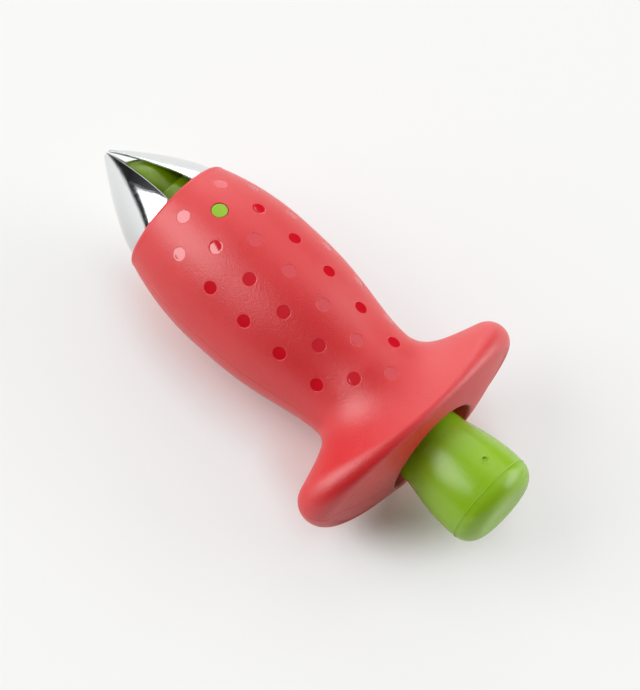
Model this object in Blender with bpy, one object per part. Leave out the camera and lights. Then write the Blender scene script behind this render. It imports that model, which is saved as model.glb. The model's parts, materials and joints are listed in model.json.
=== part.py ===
"""Strawberry huller: a strawberry-shaped hand tool with a push button behind and three claws in front.

Pressing the button slides a plunger forward against its return spring. The plunger carries the three
claws, each on its own axle. The claws come out of the mouth, open, are pushed round the core of the
fruit, and close again as the spring draws them back.

The tool is modelled about its own axis. +X runs towards the claws, and a station is a distance
behind the mouth, so it runs towards -X. An angle is measured round the axis, from the top (+Z)
towards +Y. One empty, the assembly, then lays the finished tool on its belly and its flange.
All lengths are in metres.
"""

import math

import bmesh
import bpy
from mathutils import Matrix, Vector

# Clearances
FIT_GAP = 0.0003
RUNNING_GAP = 0.0001
GUIDE_CLEARANCE = 0.000475
SPRING_CLEARANCE = 0.00115
CUT_OVERRUN = 0.002

# Housing, inside
WALL = 0.002
MOUTH_BORE_RADIUS = 0.01155
BULKHEAD_STATION = 0.0316
BULKHEAD_THICKNESS = 0.0025
CYLINDER_RADIUS = 0.0111
REAR_STATION = 0.0682
REAR_WALL = 0.0044
REAR_HOLE_STEP = 0.0008
REAR_HOLE_FILLET = 0.0004
REAR_HOLE_RADIUS = CYLINDER_RADIUS - REAR_HOLE_STEP
SHOULDER_STATION = REAR_STATION - REAR_WALL

# Housing, outside
LIP_WALL = 0.0007
LIP_LENGTH = 0.0011
MOUTH_RADIUS = MOUTH_BORE_RADIUS + LIP_WALL
BELLY_RADIUS = 0.01565
BELLY_STATION = 0.019
NECK_WALL = 0.00145
NECK_RADIUS = CYLINDER_RADIUS + NECK_WALL
NECK_STATION = 0.0489
WAIST_POWER = 1.5
FLANGE_HALF_WIDTH = 0.0279
FLANGE_RISE = 0.0025
FLANGE_HALF_DEPTH = NECK_RADIUS + FLANGE_RISE
WING_EDGE_RADIUS = 0.0042
MIDDLE_EDGE_RADIUS = 0.0012
WING_FLARE_ANGLE = math.radians(73)
MIDDLE_FLARE_ANGLE = math.radians(30)
NECK_HANDLE_SHARE = 0.24
FLARE_HANDLE_SHARE = 0.55
WING_DROP = 0.0059
MIDDLE_DROP = 0.003

# Hollows and pegs inside the wings
POCKET_INSET = 0.0062
POCKET_LENGTH = 0.004
POCKET_WALL = 0.0021
POCKET_TIP = 0.0081
POCKET_DEPTH = 0.0045
POCKET_CORNER = 0.0008
POCKET_REAR_STATION = REAR_STATION - POCKET_INSET
POCKET_FRONT_STATION = POCKET_REAR_STATION - POCKET_LENGTH
POCKET_INNER_Y = CYLINDER_RADIUS + POCKET_WALL
POCKET_OUTER_Y = FLANGE_HALF_WIDTH - POCKET_TIP
PEG_INSET = 0.0132
PEG_WALL = 0.00215
PEG_RADIUS = 0.00125
PEG_LENGTH = 0.003
PEG_STATION = REAR_STATION - PEG_INSET
PEG_Y = CYLINDER_RADIUS + PEG_WALL + PEG_RADIUS

# Claws
CLAW_ANGLES = {
    "left": math.radians(62),
    "lower": math.radians(182),
    "right": math.radians(302),
}
CLAW_LENGTH = 0.018
CLAW_TIP_RADIUS = 0.00095
CLAW_MOUTH_RADIUS = MOUTH_BORE_RADIUS - FIT_GAP
CLAW_BULGE_POWER = 1.35
CLAW_THICKNESS = 0.00045
TIP_HALF_GAP = 0.0003
MOUTH_HALF_GAP = 0.0033
JOG_LENGTH = 0.002
JOG_DEPTH = 0.001425
JOG_RADIUS = CLAW_MOUTH_RADIUS - JOG_DEPTH
SHANK_STATION = 0.005
SHANK_HALF_WIDTH = 0.0032
EYE_HALF_WIDTH = 0.0025
EYE_RADIUS = 0.0013
HINGE_RADIUS = 0.005

# Guide and its pins
GUIDE_ANGLES = [math.radians(a) for a in (0, 120, 240)]
NOSE_LENGTH = 0.0042
NOSE_RADIUS = 0.0052
NOSE_SHOULDER_RADIUS = 0.0068
NOSE_SHOULDER_LENGTH = 0.0034
GUIDE_RIM_RADIUS = JOG_RADIUS - CLAW_THICKNESS - GUIDE_CLEARANCE
GUIDE_RIM_LENGTH = 0.002
GUIDE_TAIL_RADIUS = 0.0053
GUIDE_WALL = 0.0011
GUIDE_BORE_RADIUS = GUIDE_TAIL_RADIUS - GUIDE_WALL
GUIDE_BORE_STATION = 0.004
LUG_WIDTH = 0.0046
LUG_FRONT_STATION = 0.0065
LUG_LENGTH = 0.005
LUG_SINK = 0.0003
LUG_ROOT_RADIUS = GUIDE_TAIL_RADIUS - LUG_SINK
GUIDE_TAIL_STATION = LUG_FRONT_STATION + LUG_LENGTH
PIN_STATION = LUG_FRONT_STATION + LUG_LENGTH / 2
PIN_RADIUS = 0.001575
PIN_HOLE_RADIUS = PIN_RADIUS + RUNNING_GAP
PIN_INNER_RADIUS = 0.0072

# Seed marks
SEED_RADIUS = 0.00135
SEED_DEPTH = 0.0002
SEED_PITCH = 0.009
SEED_ROWS_EACH_SIDE = 2
SEEDS_IN_LONG_ROW = 6
SEEDS_IN_OUTER_ROW = 5
MOUTH_ROW_ANGLE = math.radians(21.7)
NECK_ROW_ANGLE = math.radians(26.7)
MOUTH_ROW_STATION = 0.0047

# Push rod and its bush
ROD_RADIUS = 0.00225
BUSH_RADIUS = 0.0044
BUSH_FLANGE_RADIUS = 0.0062
BUSH_FLANGE_THICKNESS = 0.001

# Claw carrier, axles and screw
CARRIER_RADIUS = 0.008
CARRIER_LENGTH = 0.0077
CARRIER_DISC_LENGTH = 0.004
CARRIER_TAIL_RADIUS = 0.0046
CARRIER_REAR_STATION = BULKHEAD_STATION - BUSH_FLANGE_THICKNESS - 2 * FIT_GAP
CARRIER_FRONT_STATION = CARRIER_REAR_STATION - CARRIER_LENGTH
HINGE_INSET = 0.0017
HINGE_STATION = CARRIER_FRONT_STATION + HINGE_INSET
ROD_INSET = 0.0032
ROD_FRONT_STATION = CARRIER_FRONT_STATION + ROD_INSET
SEAT_RADIUS = 0.0032
SEAT_LENGTH = 0.0014
AXLE_RADIUS = 0.00075
AXLE_LENGTH = 0.0096
SCREW_RADIUS = 0.0011
SCREW_HEAD_RADIUS = 0.0024
SCREW_HEAD_HEIGHT = 0.0015
SCREW_LENGTH = 0.009
RECESS_WIDTH = 0.0007
RECESS_LENGTH = 0.0028
RECESS_DEPTH = 0.0009

# Push button
COLLAR_THICKNESS = 0.0025
COLLAR_RADIUS = CYLINDER_RADIUS - FIT_GAP
BUTTON_CUP_RADIUS = 0.0062
BUTTON_CUP_DEPTH = 0.0115
BUTTON_WALL = 0.0013
BUTTON_NECK_RADIUS = BUTTON_CUP_RADIUS + BUTTON_WALL
BUTTON_TAPER = 0.0004
BUTTON_HOLE_RADIUS = BUTTON_NECK_RADIUS + BUTTON_TAPER
BUTTON_WIDEST_RADIUS = 0.0096
BUTTON_SHOULDER_RADIUS = 0.0095
BUTTON_FACE_RADIUS = 0.0053
BUTTON_REACH = 0.01745
BUTTON_ROUNDING = 0.0039
BUTTON_LAND = 0.0016
ROD_COVER = 0.005
BUTTON_FRONT_STATION = SHOULDER_STATION - FIT_GAP - COLLAR_THICKNESS
BUTTON_CUP_STATION = BUTTON_FRONT_STATION + BUTTON_CUP_DEPTH
BUTTON_END_STATION = REAR_STATION + BUTTON_REACH
BUTTON_SHOULDER_STATION = BUTTON_END_STATION - BUTTON_ROUNDING
BUTTON_WIDEST_STATION = BUTTON_SHOULDER_STATION - BUTTON_LAND
ROD_REAR_STATION = BUTTON_END_STATION - ROD_COVER

# Return spring and its washers
WASHER_THICKNESS = 0.0007
WASHER_RADIUS = BUTTON_CUP_RADIUS - FIT_GAP
SPRING_WIRE_RADIUS = 0.00045
SPRING_RADIUS = BUTTON_CUP_RADIUS - SPRING_CLEARANCE - SPRING_WIRE_RADIUS
SPRING_TURNS = 11
SPRING_END_TURNS = 1
SPRING_END_PITCH = 0.0014
SPRING_POINTS_PER_TURN = 8

# Facets
HOUSING_SEGMENTS = 40
BARREL_STEPS = 12
FLARE_STEPS = 7
EDGE_STEPS = 5
REAR_STEPS = 3
CHAMBER_STEPS = 4
TURNED_SEGMENTS = 24
SMALL_SEGMENTS = 16
SEED_SEGMENTS = 10
BLADE_STEPS = 10
BLADE_COLUMNS = 6
SMOOTH_ANGLE = math.radians(35)

# Colour, roughness, metallic
RED = ((0.76, 0.075, 0.085), 0.42, 0.0)
GREEN = ((0.30, 0.47, 0.07), 0.35, 0.0)
STEEL = ((0.78, 0.79, 0.80), 0.12, 1.0)
PALE = ((0.82, 0.82, 0.78), 0.45, 0.0)


def lerp(start, end, share):
    """The value a share of the way from start to end."""
    return start + (end - start) * share


def smoothstep(share):
    """An ease from 0 to 1 with level ends."""
    share = min(max(share, 0.0), 1.0)
    return share * share * (3 - 2 * share)


def tool_point(station, radius, angle):
    """A point from its distance behind the mouth, its radius and its angle round the axis."""
    return Vector((-station, radius * math.sin(angle), radius * math.cos(angle)))


def turn_to(angle):
    """The rotation about the tool's axis that takes the top to an angle."""
    return Matrix.Rotation(-angle, 4, "X")


# Meshes


def finish_mesh(name, mesh_builder):
    """A closed mesh with its faces outward."""
    bmesh.ops.recalc_face_normals(mesh_builder, faces=mesh_builder.faces)
    mesh = bpy.data.meshes.new(name)
    mesh_builder.to_mesh(mesh)
    mesh_builder.free()
    return mesh


def turned(name, profile, segments):
    """A body turned about the tool's axis from a closed outline of (station, radius) points."""
    builder = bmesh.new()
    rings = []
    for station, radius in profile:
        if radius == 0:
            rings.append([builder.verts.new(tool_point(station, 0, 0))] * segments)
            continue
        angles = [2 * math.pi * k / segments for k in range(segments)]
        rings.append([builder.verts.new(tool_point(station, radius, a)) for a in angles])
    for ring, following in zip(rings, rings[1:] + rings[:1]):
        for k in range(segments):
            corners = [ring[k], ring[k - 1], following[k - 1], following[k]]
            unique = list(dict.fromkeys(corners))
            if len(unique) > 2:
                builder.faces.new(unique)
    return finish_mesh(name, builder)


def cylinder(radius, length, segments, matrix):
    """A cylinder along local Z from the origin up, placed by a matrix."""
    builder = bmesh.new()
    shift = Matrix.Translation((0, 0, length / 2))
    bmesh.ops.create_cone(
        builder, cap_ends=True, segments=segments, radius1=radius, radius2=radius, depth=length,
        matrix=matrix @ shift,
    )
    return finish_mesh("cylinder", builder)


def box(low, high, matrix=None, corner=0.0):
    """A box between two corners, with its edges rounded off if a corner size is given."""
    builder = bmesh.new()
    size = [b - a for a, b in zip(low, high)]
    middle = [(a + b) / 2 for a, b in zip(low, high)]
    placed = (matrix or Matrix()) @ Matrix.Translation(middle) @ Matrix.Diagonal((*size, 1))
    bmesh.ops.create_cube(builder, size=1, matrix=placed)
    if corner:
        bmesh.ops.bevel(builder, geom=builder.edges[:], offset=corner, segments=1, affect="EDGES")
    return finish_mesh("box", builder)


def gathered(meshes):
    """Several separate bodies in one mesh, for use as one cutter."""
    builder = bmesh.new()
    for mesh in meshes:
        builder.from_mesh(mesh)
    return finish_mesh("cutters", builder)


def boolean(mesh, tool, operation):
    """The mesh after a Boolean operation with another mesh."""
    body = bpy.data.objects.new("body", mesh)
    other = bpy.data.objects.new("tool", tool)
    for item in (body, other):
        bpy.context.scene.collection.objects.link(item)
    modifier = body.modifiers.new("Boolean", "BOOLEAN")
    modifier.operation = operation
    modifier.solver = "EXACT"
    modifier.object = other
    bpy.context.view_layer.update()
    evaluated = body.evaluated_get(bpy.context.evaluated_depsgraph_get())
    result = bpy.data.meshes.new_from_object(evaluated)
    for item in (body, other):
        bpy.data.objects.remove(item)
    return result


def radial(station, angle, start=0.0):
    """A frame at a station whose Z points outward at an angle, from a radius on."""
    return turn_to(angle) @ Matrix.Translation((-station, 0, start))


def tangential(station, radius, angle):
    """A frame at a station and radius whose Z runs round the axis at an angle."""
    sideways = Matrix.Rotation(-math.pi / 2, 4, "X")
    return turn_to(angle) @ Matrix.Translation((-station, 0, radius)) @ sideways


# Objects


def material(name, look):
    """A Principled material from a colour, a roughness and a metallic value."""
    colour, roughness, metallic = look
    made = bpy.data.materials.new(name)
    made.use_nodes = True
    made.diffuse_color = (*colour, 1)
    shader = made.node_tree.nodes["Principled BSDF"]
    shader.inputs["Base Color"].default_value = (*colour, 1)
    shader.inputs["Roughness"].default_value = roughness
    shader.inputs["Metallic"].default_value = metallic
    return made


def add_piece(name, mesh, look, assembly, matrix=None):
    """One named piece of the tool, parented to the assembly."""
    piece = bpy.data.objects.new(name, mesh)
    piece.data.materials.clear()
    piece.data.materials.append(material(name, look))
    piece.data.shade_smooth()
    piece.data.set_sharp_from_angle(angle=SMOOTH_ANGLE)
    piece.parent = assembly
    piece.matrix_local = matrix or Matrix()
    bpy.context.scene.collection.objects.link(piece)
    return piece


# Housing


def body_radius(station):
    """Radius of the strawberry's outside, from the mouth over the belly to the neck."""
    if station <= BELLY_STATION:
        share = (BELLY_STATION - station) / BELLY_STATION
        return BELLY_RADIUS - (BELLY_RADIUS - MOUTH_RADIUS) * share**2
    share = min((station - BELLY_STATION) / (NECK_STATION - BELLY_STATION), 1.0)
    ease = (1 - math.cos(math.pi * share**WAIST_POWER)) / 2
    return lerp(BELLY_RADIUS, NECK_RADIUS, ease)


def flange_radius(angle):
    """Radius of the oval flange's edge at an angle."""
    across = FLANGE_HALF_WIDTH * math.cos(angle)
    along = FLANGE_HALF_DEPTH * math.sin(angle)
    return FLANGE_HALF_WIDTH * FLANGE_HALF_DEPTH / math.hypot(across, along)


def rear_curvature(angle):
    """How fast the domed rear face drops forward with the square of the radius, at an angle."""
    across = math.sin(angle) / FLANGE_HALF_WIDTH
    along = math.cos(angle) / FLANGE_HALF_DEPTH
    return WING_DROP * across**2 + MIDDLE_DROP * along**2


def rear_station(radius, angle):
    """Station of the domed rear face at a radius and an angle."""
    return REAR_STATION - rear_curvature(angle) * radius**2


def rear_tilt(radius, angle):
    """Angle by which the domed rear face leans forward at a radius and an angle."""
    return math.atan(2 * rear_curvature(angle) * radius)


def outer_profile(angle):
    """The outside in one half-plane: lip, barrel, flare, rounded edge and rear face."""
    points = []
    lip_start = MOUTH_BORE_RADIUS + FIT_GAP / 2
    lip_end = body_radius(LIP_LENGTH)
    for k in range(3):
        turn = math.pi / 2 * k / 3
        station = LIP_LENGTH * (1 - math.cos(turn))
        points.append((station, lerp(lip_start, lip_end, math.sin(turn))))
    for k in range(BARREL_STEPS):
        station = lerp(LIP_LENGTH, NECK_STATION, k / BARREL_STEPS)
        points.append((station, body_radius(station)))

    edge = flange_radius(angle)
    wing = (edge - FLANGE_HALF_DEPTH) / (FLANGE_HALF_WIDTH - FLANGE_HALF_DEPTH)
    edge_radius = lerp(MIDDLE_EDGE_RADIUS, WING_EDGE_RADIUS, wing)
    flare = lerp(MIDDLE_FLARE_ANGLE, WING_FLARE_ANGLE, wing)
    centre_radius = edge - edge_radius
    tilt = rear_tilt(centre_radius, angle)
    centre_station = rear_station(centre_radius, angle) - edge_radius * math.cos(tilt)

    def edge_point(turn):
        station = centre_station + edge_radius * math.cos(turn)
        return station, centre_radius + edge_radius * math.sin(turn)

    start = Vector((NECK_STATION, NECK_RADIUS))
    end = Vector(edge_point(math.pi / 2 + flare))
    reach = (end - start).length
    start_handle = start + Vector((reach * NECK_HANDLE_SHARE, 0))
    slope = Vector((math.cos(flare), math.sin(flare)))
    end_handle = end - slope * (reach * FLARE_HANDLE_SHARE)
    for k in range(FLARE_STEPS):
        t = k / FLARE_STEPS
        weights = ((1 - t) ** 3, 3 * t * (1 - t) ** 2, 3 * t**2 * (1 - t), t**3)
        knots = (start, start_handle, end_handle, end)
        point = sum((w * p for w, p in zip(weights, knots)), Vector((0, 0)))
        points.append((point.x, point.y))
    for k in range(EDGE_STEPS + 1):
        points.append(edge_point(lerp(math.pi / 2 + flare, tilt, k / EDGE_STEPS)))
    hole_edge = REAR_HOLE_RADIUS + REAR_HOLE_FILLET
    rear_start = points[-1][1]
    for k in range(1, REAR_STEPS + 1):
        radius = lerp(rear_start, hole_edge, k / REAR_STEPS)
        points.append((rear_station(radius, angle), radius))
    return points


def inner_radius(station):
    """Radius of the housing's inside in front of and behind its bulkhead."""
    least = MOUTH_BORE_RADIUS if station < BULKHEAD_STATION else CYLINDER_RADIUS
    return max(least, body_radius(station) - WALL)


def inner_profile(angle):
    """The inside in one half-plane, from the rear hole forward to the mouth."""
    points = [
        (rear_station(REAR_HOLE_RADIUS, angle) - REAR_HOLE_FILLET, REAR_HOLE_RADIUS),
        (SHOULDER_STATION, REAR_HOLE_RADIUS),
        (SHOULDER_STATION, CYLINDER_RADIUS),
    ]
    bulkhead_rear = BULKHEAD_STATION + BULKHEAD_THICKNESS
    for k in range(CHAMBER_STEPS + 1):
        station = lerp(NECK_STATION, bulkhead_rear, k / CHAMBER_STEPS)
        points.append((station, inner_radius(station)))
    hole = BUSH_RADIUS + FIT_GAP
    points += [(bulkhead_rear, hole), (BULKHEAD_STATION, hole)]
    for k in range(CHAMBER_STEPS + 1):
        station = lerp(BULKHEAD_STATION - CUT_OVERRUN / 2, LIP_LENGTH, k / CHAMBER_STEPS)
        points.append((station, inner_radius(station)))
    points.append((0, MOUTH_BORE_RADIUS))
    return points


def surface_frame(station, angle):
    """A frame on the housing's outside whose Z is the way out of the surface."""
    points = outer_profile(angle)
    for (s0, r0), (s1, r1) in zip(points, points[1:]):
        if s0 <= station < s1:
            radius = lerp(r0, r1, (station - s0) / (s1 - s0))
            lean = math.atan2(r1 - r0, s1 - s0)
            break
    tilt = Matrix.Rotation(lean, 4, "Y")
    return turn_to(angle) @ Matrix.Translation((-station, 0, radius)) @ tilt, radius


def housing_shape():
    """The whole housing: one outline for each angle, joined round the axis."""
    builder = bmesh.new()
    rings = []
    for k in range(HOUSING_SEGMENTS):
        angle = 2 * math.pi * k / HOUSING_SEGMENTS
        outline = outer_profile(angle) + inner_profile(angle)
        rings.append([builder.verts.new(tool_point(s, r, angle)) for s, r in outline])
    for ring, following in zip(rings, rings[1:] + rings[:1]):
        for i in range(len(ring)):
            builder.faces.new([ring[i - 1], ring[i], following[i], following[i - 1]])
    return finish_mesh("housing", builder)


def half_shell(name, side):
    """The half of the housing on one side of the parting plane, +1 for the upper."""
    builder = bmesh.new()
    builder.from_mesh(housing_shape())
    everything = builder.verts[:] + builder.edges[:] + builder.faces[:]
    cut = bmesh.ops.bisect_plane(
        builder, geom=everything, plane_co=(0, 0, side * FIT_GAP / 2), plane_no=(0, 0, side),
        clear_inner=True,
    )
    rim = [item for item in cut["geom_cut"] if isinstance(item, bmesh.types.BMEdge)]
    bmesh.ops.edgeloop_fill(builder, edges=rim)
    return finish_mesh(name, builder)


def seed_places(middle_angle, has_pin):
    """Station and angle of each seed mark on one shell, in staggered rows that fan out to the neck."""
    places = []
    for row in range(-SEED_ROWS_EACH_SIDE, SEED_ROWS_EACH_SIDE + 1):
        near_mouth = row % 2 == 1
        count = SEEDS_IN_OUTER_ROW if abs(row) == SEED_ROWS_EACH_SIDE else SEEDS_IN_LONG_ROW
        first = 1 if row == 0 and has_pin else 0
        start = MOUTH_ROW_STATION if near_mouth else PIN_STATION
        for k in range(first, count):
            station = start + k * SEED_PITCH
            spread = lerp(MOUTH_ROW_ANGLE, NECK_ROW_ANGLE, station / NECK_STATION)
            places.append((station, middle_angle + row * spread))
    return places


def seed_cutter(places):
    """Short cylinders that sink each seed mark below the surface."""
    cutters = []
    for station, angle in places:
        frame = surface_frame(station, angle)[0]
        sunk = frame @ Matrix.Translation((0, 0, -SEED_DEPTH))
        cutters.append(cylinder(SEED_RADIUS, CUT_OVERRUN, SEED_SEGMENTS, sunk))
    return gathered(cutters)


def pin_cutter(angles):
    """Cylinders that bore the guide pins' holes through the wall."""
    bores = []
    for angle in angles:
        place = radial(PIN_STATION, angle, PIN_INNER_RADIUS)
        bores.append(cylinder(PIN_HOLE_RADIUS, BELLY_RADIUS, SMALL_SEGMENTS, place))
    return gathered(bores)


def wing_pockets(side):
    """The hollows inside the flange's two wings, open at the parting plane."""
    pockets = []
    for wing in (-1, 1):
        ys = sorted((wing * POCKET_INNER_Y, wing * POCKET_OUTER_Y))
        zs = sorted((-side * CUT_OVERRUN, side * POCKET_DEPTH))
        low = (-POCKET_REAR_STATION, ys[0], zs[0])
        high = (-POCKET_FRONT_STATION, ys[1], zs[1])
        pockets.append(box(low, high, corner=POCKET_CORNER))
    return gathered(pockets)


def pegs(radius, bottom, top):
    """Two upright cylinders where the shells locate on each other."""
    cylinders = []
    for wing in (-1, 1):
        place = Matrix.Translation((-PEG_STATION, wing * PEG_Y, bottom))
        cylinders.append(cylinder(radius, top - bottom, SMALL_SEGMENTS, place))
    return gathered(cylinders)


def add_shells(assembly):
    """The two red shells, parted on the plane through the axis and the wings."""
    upper = half_shell("upper_shell", 1)
    upper = boolean(upper, wing_pockets(1), "DIFFERENCE")
    upper = boolean(upper, pegs(PEG_RADIUS + RUNNING_GAP, -CUT_OVERRUN, PEG_LENGTH + FIT_GAP), "DIFFERENCE")
    upper = boolean(upper, pin_cutter(GUIDE_ANGLES[:1]), "DIFFERENCE")
    upper = boolean(upper, seed_cutter(seed_places(0, True)), "DIFFERENCE")
    add_piece("upper_shell", upper, RED, assembly)

    lower = half_shell("lower_shell", -1)
    lower = boolean(lower, wing_pockets(-1), "DIFFERENCE")
    lower = boolean(lower, pegs(PEG_RADIUS, -PEG_LENGTH, PEG_LENGTH), "UNION")
    lower = boolean(lower, pin_cutter(GUIDE_ANGLES[1:]), "DIFFERENCE")
    lower = boolean(lower, seed_cutter(seed_places(math.pi, False)), "DIFFERENCE")
    add_piece("lower_shell", lower, RED, assembly)


# Guide


def add_guide(assembly):
    """The green guide that fills the mouth between the claws, and the pins that hold it."""
    outline = [
        (-NOSE_LENGTH, 0),
        (-NOSE_LENGTH, NOSE_RADIUS),
        (-NOSE_SHOULDER_LENGTH, NOSE_SHOULDER_RADIUS),
        (0, GUIDE_RIM_RADIUS),
        (GUIDE_RIM_LENGTH, GUIDE_RIM_RADIUS),
        (GUIDE_TAIL_STATION, GUIDE_TAIL_RADIUS),
        (GUIDE_TAIL_STATION, GUIDE_BORE_RADIUS),
        (GUIDE_BORE_STATION, GUIDE_BORE_RADIUS),
        (GUIDE_BORE_STATION, 0),
    ]
    guide = turned("claw_guide", outline, TURNED_SEGMENTS)
    reach = body_radius(LUG_FRONT_STATION) - WALL - FIT_GAP
    lug_rear = LUG_FRONT_STATION + LUG_LENGTH
    low = (-lug_rear, -LUG_WIDTH / 2, LUG_ROOT_RADIUS)
    high = (-LUG_FRONT_STATION, LUG_WIDTH / 2, reach)
    lugs = gathered([box(low, high, turn_to(angle)) for angle in GUIDE_ANGLES])
    guide = boolean(guide, lugs, "UNION")
    guide = boolean(guide, pin_cutter(GUIDE_ANGLES), "DIFFERENCE")
    add_piece("claw_guide", guide, GREEN, assembly)

    pin_start = PIN_INNER_RADIUS + FIT_GAP
    pin_length = body_radius(PIN_STATION) - pin_start
    pin = cylinder(PIN_RADIUS, pin_length, SMALL_SEGMENTS, Matrix())
    for name, angle in zip(("upper", "left", "right"), GUIDE_ANGLES):
        add_piece(f"guide_pin_{name}", pin.copy(), GREEN, assembly, radial(PIN_STATION, angle, pin_start))


# Claws


def claw_radius(station):
    """Radius of a claw's outside: a pointed arch ahead of the mouth, then a jog in and a straight shank."""
    if station <= 0:
        share = 1 + station / CLAW_LENGTH
        arch = 1 - (1 - share) ** CLAW_BULGE_POWER
        return lerp(CLAW_TIP_RADIUS, CLAW_MOUTH_RADIUS, arch)
    if station <= JOG_LENGTH:
        return lerp(CLAW_MOUTH_RADIUS, JOG_RADIUS, smoothstep(station / JOG_LENGTH))
    share = (station - JOG_LENGTH) / (HINGE_STATION - JOG_LENGTH)
    return lerp(JOG_RADIUS, HINGE_RADIUS + CLAW_THICKNESS / 2, share)


def claw_half_angle(station):
    """Half of the angle that a claw covers, from the gaps beside its blade and its shank's width."""
    radius = claw_radius(station)
    share = min(max(1 + station / CLAW_LENGTH, 0), 1)
    half_gap = lerp(TIP_HALF_GAP, MOUTH_HALF_GAP, share)
    blade = math.pi / len(CLAW_ANGLES) - math.asin(half_gap / radius)
    if station <= 0:
        return blade
    shank_share = max(station - SHANK_STATION, 0) / (HINGE_STATION - SHANK_STATION)
    half_width = lerp(SHANK_HALF_WIDTH, EYE_HALF_WIDTH, shank_share)
    shank = math.asin(half_width / radius)
    return lerp(blade, shank, smoothstep(station / SHANK_STATION))


def claw_stations():
    """Stations of the claw's cross-sections, from its tip to its hinge."""
    blade = [-CLAW_LENGTH * (1 - k / BLADE_STEPS) for k in range(BLADE_STEPS)]
    jog = [JOG_LENGTH * k / 3 for k in range(3)]
    root = [lerp(JOG_LENGTH, SHANK_STATION, k / 2) for k in range(2)]
    shank = [lerp(SHANK_STATION, HINGE_STATION, k / 3) for k in range(4)]
    return blade + jog + root + shank


def claw_mesh():
    """One claw at the top: a curved steel blade and shank with a rolled eye at the hinge."""
    builder = bmesh.new()
    sections = []
    step = CLAW_THICKNESS
    for station in claw_stations():
        outer = claw_radius(station)
        slope = (claw_radius(station + step) - outer) / step
        inner = outer - CLAW_THICKNESS * math.hypot(1, slope)
        half_angle = claw_half_angle(station)
        angles = [half_angle * (2 * k / BLADE_COLUMNS - 1) for k in range(BLADE_COLUMNS + 1)]
        section = [tool_point(station, outer, a) for a in angles]
        section += [tool_point(station, inner, a) for a in reversed(angles)]
        sections.append([builder.verts.new(p) for p in section])
    for near, far in zip(sections, sections[1:]):
        for k in range(len(near)):
            builder.faces.new([near[k - 1], near[k], far[k], far[k - 1]])
    for section in (sections[0], sections[-1]):
        last = len(section) - 1
        for k in range(BLADE_COLUMNS):
            builder.faces.new([section[k], section[k + 1], section[last - k - 1], section[last - k]])
    blade = finish_mesh("blade", builder)

    hinge = tangential(HINGE_STATION, HINGE_RADIUS, 0)
    eye_place = hinge @ Matrix.Translation((0, 0, -EYE_HALF_WIDTH))
    claw = boolean(blade, cylinder(EYE_RADIUS, 2 * EYE_HALF_WIDTH, SMALL_SEGMENTS, eye_place), "UNION")
    hole_place = hinge @ Matrix.Translation((0, 0, -EYE_HALF_WIDTH - CUT_OVERRUN))
    hole_length = 2 * (EYE_HALF_WIDTH + CUT_OVERRUN)
    hole = cylinder(AXLE_RADIUS + RUNNING_GAP, hole_length, SMALL_SEGMENTS, hole_place)
    claw = boolean(claw, hole, "DIFFERENCE")
    claw.transform(Matrix.Translation((HINGE_STATION, 0, -HINGE_RADIUS)))
    return claw


def add_claws(assembly):
    """The three claws, each with its origin on its own axle."""
    mesh = claw_mesh()
    for name, angle in CLAW_ANGLES.items():
        add_piece(f"claw_{name}", mesh.copy(), STEEL, assembly, radial(HINGE_STATION, angle, HINGE_RADIUS))


# Plunger


def add_carrier(assembly):
    """The green carrier that holds the claws' axles, and the axles."""
    disc_rear = CARRIER_FRONT_STATION + CARRIER_DISC_LENGTH
    seat_station = CARRIER_FRONT_STATION - SEAT_LENGTH
    screw_hole = SCREW_RADIUS + FIT_GAP
    socket = ROD_RADIUS + RUNNING_GAP
    socket_station = ROD_FRONT_STATION - FIT_GAP
    outline = [
        (seat_station, screw_hole),
        (seat_station, SEAT_RADIUS),
        (CARRIER_FRONT_STATION, SEAT_RADIUS),
        (CARRIER_FRONT_STATION, CARRIER_RADIUS),
        (disc_rear, CARRIER_RADIUS),
        (disc_rear, CARRIER_TAIL_RADIUS),
        (CARRIER_REAR_STATION, CARRIER_TAIL_RADIUS),
        (CARRIER_REAR_STATION, socket),
        (socket_station, socket),
        (socket_station, screw_hole),
    ]
    carrier = turned("claw_carrier", outline, TURNED_SEGMENTS)

    slot_half_width = EYE_HALF_WIDTH + FIT_GAP
    slot_floor = HINGE_RADIUS - EYE_RADIUS - FIT_GAP
    slot_rear = HINGE_STATION + EYE_RADIUS + FIT_GAP
    low = (-slot_rear, -slot_half_width, slot_floor)
    high = (-CARRIER_FRONT_STATION + CUT_OVERRUN / 2, slot_half_width, CARRIER_RADIUS + CUT_OVERRUN)
    slots = gathered([box(low, high, turn_to(angle)) for angle in CLAW_ANGLES.values()])
    carrier = boolean(carrier, slots, "DIFFERENCE")

    hole_half_length = math.sqrt(CARRIER_RADIUS**2 - HINGE_RADIUS**2) + CUT_OVERRUN / 2
    holes = []
    for angle in CLAW_ANGLES.values():
        place = tangential(HINGE_STATION, HINGE_RADIUS, angle)
        place = place @ Matrix.Translation((0, 0, -hole_half_length))
        holes.append(cylinder(AXLE_RADIUS + RUNNING_GAP, 2 * hole_half_length, SMALL_SEGMENTS, place))
    carrier = boolean(carrier, gathered(holes), "DIFFERENCE")
    add_piece("claw_carrier", carrier, GREEN, assembly)

    centred = Matrix.Translation((0, 0, -AXLE_LENGTH / 2))
    axle = cylinder(AXLE_RADIUS, AXLE_LENGTH, SMALL_SEGMENTS, centred)
    for name, angle in CLAW_ANGLES.items():
        place = tangential(HINGE_STATION, HINGE_RADIUS, angle)
        add_piece(f"claw_axle_{name}", axle.copy(), STEEL, assembly, place)


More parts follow.
